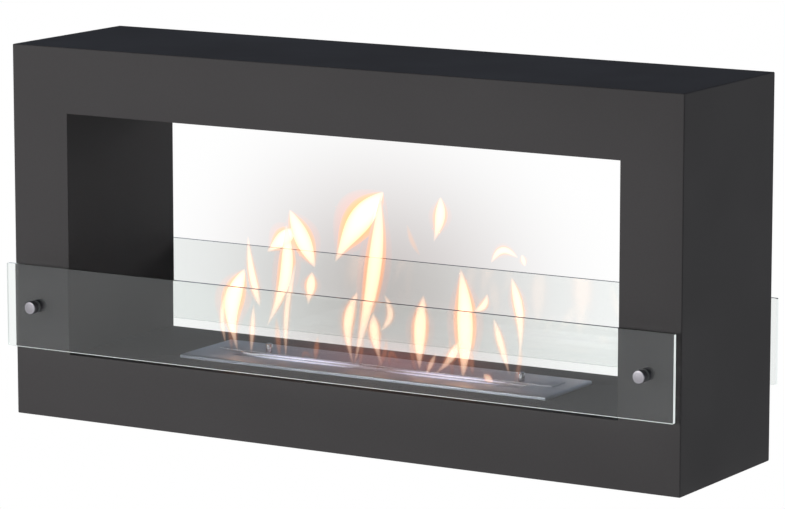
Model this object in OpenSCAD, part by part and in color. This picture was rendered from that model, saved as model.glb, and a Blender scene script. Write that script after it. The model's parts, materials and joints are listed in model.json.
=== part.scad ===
// Free-standing see-through ethanol fireplace with a guard glass on each side.
// Millimetres. +X is to the right, +Y to the back, +Z up.
// The origin is on the floor, under the middle of the casing.

/* [Casing] */
// Width of the casing
body_w = 1000; // [820:10:1600]
// Height of the casing, without its feet
body_h = 500; // [400:10:900]
// Depth of the casing, front face to rear face
body_d = 250; // [205:5:450]
// Width of each column beside the fire tunnel
column_w = 87; // [60:1:160]
// Height of the base under the fire tunnel
base_h = 88; // [70:1:160]
// Height of the lintel above the fire tunnel
lintel_h = 88; // [50:1:160]
// Thickness of the steel sheet
sheet_t = 2; // [1.5:0.5:3]
// Width of the welded flanges and of the base rails' legs
flange_w = 18; // [12:1:24]

/* [Feet and bottom] */
// Height of the rubber feet
foot_h = 4; // [3.5:0.5:12]
// Diameter of the rubber feet
foot_d = 30; // [20:1:44]
// Distance from the casing's edges to the middle of each foot
foot_inset = 46; // [42:1:70]
// Length of the vent slots in the bottom plate
vent_l = 60; // [20:1:80]
// Width of the vent slots
vent_w = 5; // [3:0.5:8]

/* [Guard glass] */
// Height of each glass
glass_h = 112; // [80:1:160]
// Thickness of each glass
glass_t = 5; // [4:0.5:10]
// How far the glass stops short of the casing's ends
glass_short = 0; // [0:1:40]
// Height of the glass's lower edge above the hearth
glass_lift = 8; // [0:1:30]
// Wall of the silicone sleeve in each glass hole
sleeve_t = 1.7; // [1:0.1:3]

/* [Stand-offs] */
// Diameter of the barrel and of the cap
standoff_d = 17; // [15:0.5:30]
// Length of the barrel
barrel_l = 14; // [8:1:40]
// Thickness of the silicone washer on each side of the glass
washer_t = 1; // [0.5:0.5:3]
// Thickness of the cap
cap_l = 9; // [7:0.5:16]
// Thread diameter of the stud
stud_d = 6; // [5:1:8]
// Pitch of the stud's thread
stud_pitch = 1; // [0.8:0.05:1.25]
// Length of the weld nut inside the column
nut_l = 10; // [6:1:14]

/* [Burner] */
// Length of the burner's top plate
plate_l = 556; // [300:2:640]
// Depth of the burner's top plate
plate_d = 124; // [100:1:150]
// Height of the top plate above the hearth
plate_h = 4.5; // [3.5:0.5:10]
// Sheet thickness of the burner
burner_t = 1.5; // [1:0.25:2]
// How far the top plate overlaps the hole in the hearth
plate_overlap = 9; // [6:1:14]
// Distance from each end of the top plate to the fire slot
slot_end = 60; // [54:1:90]
// Width of the fire slot
slot_w = 25; // [12:1:34]
// How far the slot lies in front of the burner's middle
slot_offset = 15.5; // [12:0.5:20]
// Depth of the folded collar round the slot
collar_h = 7; // [4:0.5:10]
// Height of the ceramic blocks in the fuel tank
absorber_h = 24; // [10:1:30]
// Number of cross ribs in the tank
ribs = 2; // [1:1:4]

/* [Shutter] */
// Thickness of the sliding shutter
shutter_t = 1.5; // [1:0.25:2]
// Length of the shutter past each end of the slot
shutter_past = 38; // [32:1:42]
// How far the closed shutter covers the edge in front of the slot
shutter_lap = 3; // [2:0.5:5]
// How far the closed shutter covers the edge behind the slot
shutter_rear_lap = 7; // [5:0.5:12]
// Diameter of the two knobs
knob_d = 9; // [6:0.5:12]
// Height of the two knobs
knob_h = 12; // [8:1:24]
// Distance from the left end of the slot to its knob
knob_in_left = 40; // [10:1:80]
// Distance from the right end of the slot to its knob
knob_in_right = 12; // [10:1:80]

/* [Hidden] */
$fn = 64;
// Clearances
running_gap = 0.05;  // radial, stud in nut
sliding_gap = 0.1;   // shutter over the top plate
pass_gap = 0.3;      // radial, stud through barrel, washers and glass sleeve
drop_gap = 5;        // burner tray inside the hole in the hearth
well_gap = 4;        // well outside the hole in the hearth
tank_side_gap = 3;   // between the tank's long walls and the tray's
under_tank_gap = 9;  // tank over the tray's floor
under_tray_gap = 12; // tray over the well's floor
under_well_gap = 15; // well over the bottom plate
absorber_gap = 1;    // round each ceramic block
board_gap = 3;       // round each insulation board
fit_gap = 0.3;       // bottom plate inside the casing
rail_gap = 1;        // between the long and the short base rails
foot_web = 1;        // rubber between a foot screw's head and the bottom plate
eps = 0.01;

// Levels
z0 = foot_h;                       // underside of the casing
z_hearth = z0 + base_h;            // floor of the fire tunnel
z_ceiling = z0 + body_h - lintel_h; // its roof
z_top = z0 + body_h;
open_w = body_w - 2 * column_w;    // width of the fire tunnel
in_d = body_d - 2 * sheet_t;       // depth between the two face panels

// Bottom plate, rails and screws
screw_d = 4;
screw_head_d = 8;
screw_head_h = 2.2;
screw_crown_d = 6.08;              // flat middle of the head
screw_l = 9;
screw_tip = 3;                     // of a foot screw, above the bottom plate
screw_count = 5;                   // along each long edge
screw_end = 44;                    // from the casing's end to the last screw
screw_pitch = (body_w - 2 * screw_end) / (screw_count - 1);
screw_y = in_d / 2 - flange_w / 2 - sheet_t / 2;
foot_bevel = 1;
foot_recess_d = screw_head_d + 2;
vent_pitch = 80;
vent_count = 2 * floor((body_w / 2 - foot_inset - foot_d) / vent_pitch / 2) + 1;
vent_y = 36;

// Stand-offs, measured from each face panel outwards
glass_y = barrel_l + washer_t;         // inner face of the glass
cap_washer_y = glass_y + glass_t;
cap_y = cap_washer_y + washer_t;
standoff_x = (body_w - column_w) / 2;  // middle of the column
glass_z = z_hearth + glass_lift;
standoff_z = glass_z + glass_h / 2;
glass_w = body_w - 2 * glass_short;
stud_hole_d = stud_d + 2 * pass_gap;
glass_hole_d = stud_hole_d + 2 * sleeve_t;
nut_af = 1.75 * stud_d;                // across the flats
stud_in_cap = 5;
stud_l = stud_in_cap + cap_y + sheet_t + nut_l;
cap_bevel = 0.8;
barrel_bevel = 0.4;

// Burner
z_plate = z_hearth + plate_h;          // top of the burner's top plate
z_under = z_plate - burner_t;          // its underside
slot_l = plate_l - 2 * slot_end;
slot_y = -slot_offset;
cut_l = plate_l - 2 * plate_overlap;   // hole in the hearth
cut_d = plate_d - 2 * plate_overlap;
tray_l = cut_l - 2 * drop_gap;
tray_d = cut_d - 2 * drop_gap;
z_well = z0 + sheet_t + under_well_gap;      // underside of the well
z_tray = z_well + burner_t + under_tray_gap; // underside of the tray
z_tank = z_tray + burner_t + under_tank_gap; // underside of the tank
tank_end = 7;                          // from the slot's end to the tank's outer end
tank_l = slot_l + 2 * tank_end;
tank_d = tray_d - 2 * burner_t - 2 * tank_side_gap;
rib_drop = 10.5;                       // from the top plate's underside to the ribs
well_l = cut_l + 2 * well_gap;
well_d = cut_d + 2 * well_gap;
well_flange = 15;

// Shutter, at rest behind the open slot
shutter_l = slot_l + 2 * shutter_past;
shutter_d = shutter_lap + slot_w + shutter_rear_lap;
z_shutter = z_plate + sliding_gap;
shutter_front = slot_y + slot_w / 2;   // front edge, level with the slot's rear edge
shutter_travel = slot_w + shutter_lap;
knob_edge = 1.5;                       // from the shutter's front edge to the knobs
knob_y = shutter_front + knob_d / 2 + knob_edge;
knob_xs = [-slot_l / 2 + knob_in_left, slot_l / 2 - knob_in_right];
knob_screw_d = 3;
knob_screw_head_d = 5.6;
knob_bevel = 0.6;
knob_bore_h = 7;
knob_screw_h = 6;                      // in the knob
pin_d = 4;
pin_head_d = 7;
pin_head_t = 1.2;
pin_x = tank_l / 2 + 12;               // past the tank's end, inside the tray
pin_y = shutter_front + shutter_d - pin_head_d / 2;
guide_gap = 0.15;                      // radial, pin in its guide slot
guide_w = pin_d + 2 * guide_gap;

// Hearth bearers, insulation and stiffeners
bearer_x = (well_l / 2 + well_flange + open_w / 2) / 2;
bearer_h = 50;
bearer_flange = 20;
board_t = 22;
board_l = 2 * (bearer_x - bearer_flange / 2 - board_gap);
stiffener_w = 40;
stiffener_x = open_w / 4;

steel = [0.20, 0.20, 0.205];
zinc = [0.68, 0.70, 0.72];
stainless = [0.62, 0.63, 0.65];
clear_glass = [0.80, 0.90, 0.87, 0.35];
silicone = [0.86, 0.88, 0.88];
rubber = [0.07, 0.07, 0.07];
mineral = [0.88, 0.86, 0.80];

// ---- shared shapes ----

// A box between any two opposite corners
module span(a, b) {
    low = [for (i = [0:2]) min(a[i], b[i])];
    high = [for (i = [0:2]) max(a[i], b[i])];
    translate(low) cube(high - low);
}

// A straight slot with round ends, l long over all, w wide and h deep, centred on the origin in plan
module long_slot(l, w, h) {
    translate([-(l - w) / 2, -w / 2, 0]) cube([l - w, w, h]);
    for (side = [-1, 1]) translate([side * (l - w) / 2, 0, 0]) cylinder(h = h, d = w);
}

// Its children at the four corners of a rectangle
module at_corners(x, y) {
    for (sx = [-1, 1], sy = [-1, 1]) translate([sx * x, sy * y, 0]) children();
}

// A cutter for a round hole from z_low to z_high
module through_hole(d, z_low, z_high) {
    translate([0, 0, z_low - eps]) cylinder(h = z_high - z_low + 2 * eps, d = d);
}

// A flat ring disc along +Z
module ring(d, bore, h) {
    difference() {
        cylinder(h = h, d = d);
        through_hole(bore, 0, h);
    }
}

// A round bar along +Z whose far edge is bevelled
module bevelled_bar(d, h, bevel) {
    r = d / 2;
    rotate_extrude()
        polygon([[0, 0], [r, 0], [r, h - bevel], [r - bevel, h], [0, h]]);
}

// An open-topped box of sheet, t thick, from its underside at z_floor to its rim at z_rim
module open_box(l, d, t, z_floor, z_rim) {
    difference() {
        span([-l / 2, -d / 2, z_floor], [l / 2, d / 2, z_rim]);
        span([-l / 2 + t, -d / 2 + t, z_floor + t], [l / 2 - t, d / 2 - t, z_rim + eps]);
    }
}

// Its children on one stand-off's axis: their +Z points away from the face panel's outer face
module on_standoff(side_x, side_y) {
    translate([side_x * standoff_x, side_y * body_d / 2, standoff_z])
        rotate([side_y < 0 ? 90 : -90, 0, 0]) children();
}

module on_all_standoffs() {
    for (sx = [-1, 1], sy = [-1, 1]) on_standoff(sx, sy) children();
}

// ---- casing ----

// The flat ring that forms the front or the rear face
module face_panel(side_y) {
    color(steel) difference() {
        span([-body_w / 2, side_y * body_d / 2, z0], [body_w / 2, side_y * in_d / 2, z_top]);
        span([-open_w / 2, -body_d, z_hearth], [open_w / 2, body_d, z_ceiling]);
        for (sx = [-1, 1])
            on_standoff(sx, side_y) through_hole(stud_hole_d, -sheet_t, 0);
    }
}

// A front-to-back flange pair: sheet strips that lie against both face panels
module flange_pair(x0, x1, z_low, z_high) {
    for (sy = [-1, 1])
        span([x0, sy * in_d / 2, z_low], [x1, sy * (in_d / 2 - sheet_t), z_high]);
}

// Top sheet with welded flanges on all four edges
module top_panel() {
    edge = body_w / 2 - sheet_t;
    color(steel) {
        span([-body_w / 2, -in_d / 2, z_top - sheet_t], [body_w / 2, in_d / 2, z_top]);
        flange_pair(-edge, edge, z_top - flange_w, z_top);
        for (sx = [-1, 1])
            span([sx * edge, -in_d / 2 + 2 * sheet_t, z_top - flange_w],
                 [sx * (edge - sheet_t), in_d / 2 - 2 * sheet_t, z_top]);
    }
}

// Outer side sheet; sx is -1 on the left and 1 on the right
module side_panel(sx) {
    edge = body_w / 2;
    color(steel) {
        span([sx * edge, -in_d / 2, z0], [sx * (edge - sheet_t), in_d / 2, z_top - sheet_t]);
        flange_pair(sx * edge, sx * (edge - flange_w),
                    z0 + 2 * sheet_t + flange_w, z_top - flange_w - sheet_t);
    }
}

// Inner column sheet; its visible face is flush with the face panels' opening
module tunnel_wall(sx) {
    face = open_w / 2;
    color(steel) {
        span([sx * face, -in_d / 2, z_hearth], [sx * (face + sheet_t), in_d / 2, z_ceiling]);
        flange_pair(sx * face, sx * (face + flange_w), z_hearth + flange_w, z_ceiling - flange_w);
    }
}

// Roof of the fire tunnel, on top of the tunnel walls
module tunnel_ceiling() {
    half = open_w / 2 + sheet_t;
    color(steel) {
        span([-half, -in_d / 2, z_ceiling], [half, in_d / 2, z_ceiling + sheet_t]);
        flange_pair(-half, half, z_ceiling, z_ceiling + flange_w);
    }
}

// Floor of the fire tunnel, with the hole that the burner hangs in
module hearth_plate() {
    half = open_w / 2 + sheet_t;
    color(steel) difference() {
        union() {
            span([-half, -in_d / 2, z_hearth - sheet_t], [half, in_d / 2, z_hearth]);
            flange_pair(-half, half, z_hearth - flange_w, z_hearth);
        }
        span([-cut_l / 2, -cut_d / 2, z_hearth - sheet_t - eps], [cut_l / 2, cut_d / 2, z_hearth + eps]);
    }
}

// Four angle rails round the bottom edge, which the bottom plate is screwed to
module base_rails() {
    z1 = z0 + sheet_t;
    edge_x = body_w / 2 - sheet_t;
    end_y = in_d / 2 - flange_w - rail_gap;
    color(steel) difference() {
        union() {
            for (sy = [-1, 1])
                span([-edge_x, sy * in_d / 2, z1], [edge_x, sy * (in_d / 2 - flange_w), z1 + sheet_t]);
            flange_pair(-edge_x, edge_x, z1, z1 + flange_w);
            for (sx = [-1, 1]) {
                span([sx * edge_x, -end_y, z1], [sx * (edge_x - flange_w), end_y, z1 + sheet_t]);
                span([sx * edge_x, -end_y, z1], [sx * (edge_x - sheet_t), end_y, z1 + flange_w]);
            }
        }
        at_screws() through_hole(screw_d + 2 * running_gap, sheet_t, 2 * sheet_t);
    }
}

// Its children at each screw of the bottom plate, with z at the casing's underside
module at_screws() {
    for (i = [0:screw_count - 1], sy = [-1, 1])
        translate([i * screw_pitch - body_w / 2 + screw_end, sy * screw_y, z0]) children();
}

// Loose bottom plate with vent slots
module bottom_plate() {
    x = body_w / 2 - sheet_t - fit_gap;
    y = in_d / 2 - fit_gap;
    color(steel) difference() {
        span([-x, -y, z0], [x, y, z0 + sheet_t]);
        at_screws() through_hole(screw_d + 2 * pass_gap, 0, sheet_t);
        at_feet() through_hole(screw_d + 2 * running_gap, z0, z0 + sheet_t);
        for (i = [-(vent_count - 1) / 2:(vent_count - 1) / 2], sy = [-1, 1])
            translate([i * vent_pitch, sy * vent_y, z0 - eps]) rotate([0, 0, 90])
                long_slot(vent_l, vent_w, sheet_t + 2 * eps);
    }
}

module at_feet() {
    at_corners(body_w / 2 - foot_inset, body_d / 2 - foot_inset) children();
}

// Pan-head screw along +Z with the underside of its head at z = 0
module pan_screw(l) {
    cylinder(h = l, d = screw_d);
    rotate_extrude()
        polygon([[0, 0], [screw_head_d / 2, 0], [screw_head_d / 2, -screw_head_h / 2],
                 [screw_crown_d / 2, -screw_head_h], [0, -screw_head_h]]);
}

module bottom_screws() {
    color(zinc) at_screws() pan_screw(screw_l);
}

// Foot with a recess for its screw
module rubber_feet() {
    color(rubber) at_feet() difference() {
        translate([0, 0, foot_h]) mirror([0, 0, 1]) bevelled_bar(foot_d, foot_h, foot_bevel);
        through_hole(screw_d + 2 * pass_gap, 0, foot_h);
        through_hole(foot_recess_d, 0, foot_h - foot_web - eps);
    }
}

module foot_screws() {
    color(zinc) at_feet() translate([0, 0, foot_h - foot_web]) pan_screw(foot_web + sheet_t + screw_tip);
}

// Webs across the base that carry the hearth plate
module hearth_bearers() {
    top = z_hearth - sheet_t;
    y = in_d / 2 - sheet_t;
    color(zinc) for (sx = [-1, 1]) translate([sx * bearer_x, 0, 0]) {
        span([-sheet_t / 2, -y, top - bearer_h], [sheet_t / 2, y, top]);
        span([-bearer_flange / 2, -y, top - sheet_t], [bearer_flange / 2, y, top]);
        for (sy = [-1, 1])
            span([-bearer_flange / 2, sy * y, top - bearer_h],
                 [bearer_flange / 2, sy * (y - sheet_t), top]);
    }
}

// Channels between the tunnel's roof and the top sheet
module lintel_stiffeners() {
    low = z_ceiling + sheet_t;
    high = z_top - sheet_t;
    y = in_d / 2 - sheet_t;
    color(zinc) for (sx = [-1, 0, 1]) translate([sx * stiffener_x, 0, 0]) {
        for (s = [-1, 1])
            span([s * stiffener_w / 2, -y, low], [s * (stiffener_w / 2 - sheet_t), y, high]);
        span([-stiffener_w / 2, -y, high - sheet_t], [stiffener_w / 2, y, high]);
    }
}

// Steel box under the hearth that shields the casing from the burner
module burner_well() {
    rim = z_hearth - sheet_t;
    color(zinc) {
        open_box(well_l + 2 * burner_t, well_d + 2 * burner_t, burner_t, z_well, rim);
        difference() {
            span([-well_l / 2 - well_flange, -well_d / 2 - well_flange, rim - burner_t],
                 [well_l / 2 + well_flange, well_d / 2 + well_flange, rim]);
            span([-well_l / 2, -well_d / 2, rim - burner_t - eps], [well_l / 2, well_d / 2, rim + eps]);
        }
    }
}

// Mineral boards that stand between the well and the two face panels
module insulation_boards() {
    inner = well_d / 2 + well_flange + board_gap;
    board = min(board_t, in_d / 2 - flange_w - board_gap - inner);
    color(mineral) for (sy = [-1, 1])
        span([-board_l / 2, sy * inner, z0 + sheet_t],
             [board_l / 2, sy * (inner + board), z_hearth - sheet_t - board_gap]);
}

// ---- guard glass and stand-offs ----

module weld_nuts() {
    color(zinc) on_all_standoffs() translate([0, 0, -sheet_t - nut_l]) difference() {
        cylinder(h = nut_l, d = nut_af / cos(30), $fn = 6);
        through_hole(stud_d + 2 * running_gap, 0, nut_l);
    }
}

module standoff_barrels() {
    color(stainless) on_all_standoffs() difference() {
        bevelled_bar(standoff_d, barrel_l, barrel_bevel);
        through_hole(stud_hole_d, 0, barrel_l);
    }
}

module seat_washers() {
    color(silicone) on_all_standoffs() translate([0, 0, barrel_l]) ring(standoff_d, stud_hole_d, washer_t);
}

module glass_sleeves() {
    color(silicone) on_all_standoffs() translate([0, 0, glass_y])
        ring(glass_hole_d, stud_hole_d, glass_t);
}

module guard_glass(side_y) {
    inner = body_d / 2 + glass_y;
    color(clear_glass) difference() {
        span([-glass_w / 2, side_y * inner, glass_z],
             [glass_w / 2, side_y * (inner + glass_t), glass_z + glass_h]);
        for (sx = [-1, 1])
            on_standoff(sx, side_y) through_hole(glass_hole_d, glass_y, glass_y + glass_t);
    }
}

// Screw cap with a bevelled face and a blind hole for its stud
module cap(side_x, side_y) {
    color(stainless) on_standoff(side_x, side_y) translate([0, 0, cap_y]) difference() {
        bevelled_bar(standoff_d, cap_l, cap_bevel);
        through_hole(stud_d, 0, stud_in_cap - eps);
    }
}

module cap_stud(side_x, side_y) {
    color(zinc) on_standoff(side_x, side_y) translate([0, 0, cap_y + stud_in_cap - stud_l])
        cylinder(h = stud_l, d = stud_d);
}

module cap_washer(side_x, side_y) {
    color(silicone) on_standoff(side_x, side_y) translate([0, 0, cap_washer_y])
        ring(standoff_d, stud_hole_d, washer_t);
}

// ---- burner ----

// Folded top plate with the fire slot, its collar and two guide slots
module burner_plate() {
    color(stainless) difference() {
        union() {
            span([-plate_l / 2, -plate_d / 2, z_under], [plate_l / 2, plate_d / 2, z_plate]);
            difference() {
                span([-plate_l / 2, -plate_d / 2, z_hearth], [plate_l / 2, plate_d / 2, z_plate]);
                span([-plate_l / 2 + burner_t, -plate_d / 2 + burner_t, z_hearth - eps],
                     [plate_l / 2 - burner_t, plate_d / 2 - burner_t, z_plate]);
            }
            span([-slot_l / 2 - burner_t, slot_y - slot_w / 2 - burner_t, z_plate - collar_h],
                 [slot_l / 2 + burner_t, slot_y + slot_w / 2 + burner_t, z_plate]);
        }
        span([-slot_l / 2, slot_y - slot_w / 2, z_plate - collar_h - eps],
             [slot_l / 2, slot_y + slot_w / 2, z_plate + eps]);
        for (sx = [-1, 1])
            translate([sx * pin_x, pin_y - shutter_travel / 2, z_under - eps]) rotate([0, 0, 90])
                long_slot(shutter_travel + guide_w, guide_w, burner_t + 2 * eps);
    }
}

// Inner fuel tank, welded under the top plate
module fuel_tank() {
    color(stainless) open_box(tank_l, tank_d, burner_t, z_tank, z_under);
}

// Where the ribs stand, evenly along the tank
rib_xs = [for (i = [1:ribs]) -slot_l / 2 + slot_l * i / (ribs + 1)];

module tank_ribs() {
    y = tank_d / 2 - burner_t;
    color(stainless) for (x = rib_xs)
        span([x - burner_t / 2, -y, z_tank + burner_t], [x + burner_t / 2, y, z_under - rib_drop]);
}

// Ceramic foam blocks, one in each bay of the tank
module ceramic_absorbers() {
    half = tank_l / 2 - burner_t;
    y = tank_d / 2 - burner_t - absorber_gap;
    bottom = z_tank + burner_t;
    ends = concat([-half - burner_t / 2], rib_xs, [half + burner_t / 2]);
    color(mineral) for (i = [0:ribs])
        span([ends[i] + burner_t / 2 + absorber_gap, -y, bottom],
             [ends[i + 1] - burner_t / 2 - absorber_gap, y, bottom + absorber_h]);
}

// Outer tray that catches spilt fuel
module safety_tray() {
    color(stainless) open_box(tray_l, tray_d, burner_t, z_tray, z_under);
}

// ---- shutter ----

// A knob screw l long along +Z, its flat head at z = 0 and as deep as the shutter; past adds to both ends
module countersunk(l, past) {
    head_r = knob_screw_head_d / 2;
    r = knob_screw_d / 2;
    rotate_extrude()
        polygon([[0, -past], [head_r, -past], [head_r, 0], [r, shutter_t], [r, l + past], [0, l + past]]);
}

module shutter() {
    z = z_shutter;
    color(stainless) difference() {
        span([-shutter_l / 2, shutter_front, z], [shutter_l / 2, shutter_front + shutter_d, z + shutter_t]);
        for (x = knob_xs) translate([x, knob_y, z]) countersunk(shutter_t, eps);
        for (sx = [-1, 1]) translate([sx * pin_x, pin_y, z]) through_hole(pin_d, 0, shutter_t);
    }
}

// Turned knobs that stand on the shutter
module shutter_knobs() {
    color(stainless) for (x = knob_xs) translate([x, knob_y, z_shutter + shutter_t]) difference() {
        bevelled_bar(knob_d, knob_h, knob_bevel);
        through_hole(knob_screw_d, 0, knob_bore_h);
    }
}

// Countersunk screws from under the shutter into the knobs
module knob_screws() {
    color(zinc) for (x = knob_xs)
        translate([x, knob_y, z_shutter]) countersunk(shutter_t + knob_screw_h, 0);
}

// Riveted pins that run in the top plate's guide slots
module guide_pins() {
    head_z = z_under - sliding_gap;
    color(zinc) for (sx = [-1, 1]) translate([sx * pin_x, pin_y, 0]) {
        translate([0, 0, head_z - eps]) cylinder(h = z_shutter + shutter_t - head_z + eps, d = pin_d);
        translate([0, 0, head_z - pin_head_t]) cylinder(h = pin_head_t, d = pin_head_d);
    }
}

// ---- nodes ----

face_panel(-1);  // front_panel
face_panel(1);  // rear_panel
top_panel();
side_panel(-1);  // left_side_panel
side_panel(1);  // right_side_panel
bottom_plate();
tunnel_wall(-1);  // tunnel_left_wall
tunnel_wall(1);  // tunnel_right_wall
tunnel_ceiling();
hearth_plate();
base_rails();
hearth_bearers();
lintel_stiffeners();
burner_well();
insulation_boards();
bottom_screws();
rubber_feet();
foot_screws();
weld_nuts();
standoff_barrels();
seat_washers();
glass_sleeves();
guard_glass(-1);  // front_glass
guard_glass(1);  // rear_glass
burner_plate();
fuel_tank();
tank_ribs();
ceramic_absorbers();
safety_tray();
shutter();
shutter_knobs();
knob_screws();
guide_pins();
cap_washer(-1, -1);  // cap_washer_front_left
cap_washer(1, -1);  // cap_washer_front_right
cap_washer(-1, 1);  // cap_washer_rear_left
cap_washer(1, 1);  // cap_washer_rear_right
cap(-1, -1);  // cap_front_left
cap(1, -1);  // cap_front_right
cap(-1, 1);  // cap_rear_left
cap(1, 1);  // cap_rear_right
cap_stud(-1, -1);  // cap_stud_front_left
cap_stud(1, -1);  // cap_stud_front_right
cap_stud(-1, 1);  // cap_stud_rear_left
cap_stud(1, 1);  // cap_stud_rear_right
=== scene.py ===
"""Looks of a free-standing see-through ethanol fireplace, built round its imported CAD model.

Metres, +X to the right, +Y to the back, +Z up. Pieces take their places from the CAD nodes' boxes.
What a box doesn't tell, such as a hole, a slot, a rounding or a thread, is a named size of its class.
"""

import json
import logging
import math
from collections.abc import Callable, Iterable, Sequence
from dataclasses import dataclass, field
from enum import Enum

import bmesh
import bpy
from mathutils import Matrix, Vector

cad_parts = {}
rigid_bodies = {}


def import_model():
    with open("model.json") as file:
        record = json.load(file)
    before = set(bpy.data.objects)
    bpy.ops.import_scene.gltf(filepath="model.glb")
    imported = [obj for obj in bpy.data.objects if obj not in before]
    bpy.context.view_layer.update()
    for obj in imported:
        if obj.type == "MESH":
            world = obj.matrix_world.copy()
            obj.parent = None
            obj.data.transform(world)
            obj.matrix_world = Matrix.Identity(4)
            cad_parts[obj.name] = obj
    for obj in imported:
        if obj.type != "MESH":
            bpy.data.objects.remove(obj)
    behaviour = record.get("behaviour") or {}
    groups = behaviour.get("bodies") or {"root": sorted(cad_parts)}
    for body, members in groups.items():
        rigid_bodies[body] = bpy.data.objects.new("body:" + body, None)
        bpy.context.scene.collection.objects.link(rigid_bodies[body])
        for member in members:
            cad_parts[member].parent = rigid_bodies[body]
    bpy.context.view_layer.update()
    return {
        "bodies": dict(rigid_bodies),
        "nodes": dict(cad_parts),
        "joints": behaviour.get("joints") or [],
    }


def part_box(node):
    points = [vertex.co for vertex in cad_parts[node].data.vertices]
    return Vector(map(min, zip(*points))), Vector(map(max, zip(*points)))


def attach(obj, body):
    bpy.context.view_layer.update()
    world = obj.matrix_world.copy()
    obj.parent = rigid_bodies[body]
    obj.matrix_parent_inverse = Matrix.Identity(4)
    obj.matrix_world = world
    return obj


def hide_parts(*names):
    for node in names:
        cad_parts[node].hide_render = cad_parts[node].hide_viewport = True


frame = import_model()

LOG = logging.getLogger("fireplace")
MM = 0.001
WELD = 1e-6          # vertices closer than this are one
SHARP = 0.6          # radians; a bend above this is an edge
Colour = tuple[float, float, float]
Triple = tuple[float, float, float]
Rgba = tuple[float, float, float, float]
Sky = tuple[tuple[float, Rgba], ...]
Profile = list[tuple[float, float]]


class Side(Enum):
    """The two long sides of the fireplace, by the sign of their Y."""

    FRONT = -1
    REAR = 1


class Flat(Enum):
    """Which faces of a mesh keep flat shading, so that its small roundings stay crisp."""

    SHEET = ((1, 0, 0), (0, 1, 0), (0, 0, 1))
    TURNED_Z = ((0, 0, 1),)
    TURNED_Y = ((0, 1, 0),)
    NONE = ()


# ---- shapes ----


def at(x: float, y: float, z: float) -> Matrix:
    """A matrix that moves to a place."""
    return Matrix.Translation((x, y, z))


def fresh(made: dict, kind: type = bmesh.types.BMVert) -> list:
    """The vertices, or the parts of another kind, that an extrusion has made."""
    return [part for part in made["geom"] if isinstance(part, kind)]


def outward(side: Side, place: Vector) -> Matrix:
    """A matrix that stands a shape's +Z on a long side, pointing away from it.

    Args:
        side: The long side that +Z points out of.
        place: Where the shape's origin goes.

    Returns:
        The matrix.
    """
    half_turn = Matrix.Rotation(math.pi if side is Side.REAR else 0.0, 4, "Z")
    return Matrix.Translation(place) @ half_turn @ Matrix.Rotation(math.pi / 2, 4, "X")


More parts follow.
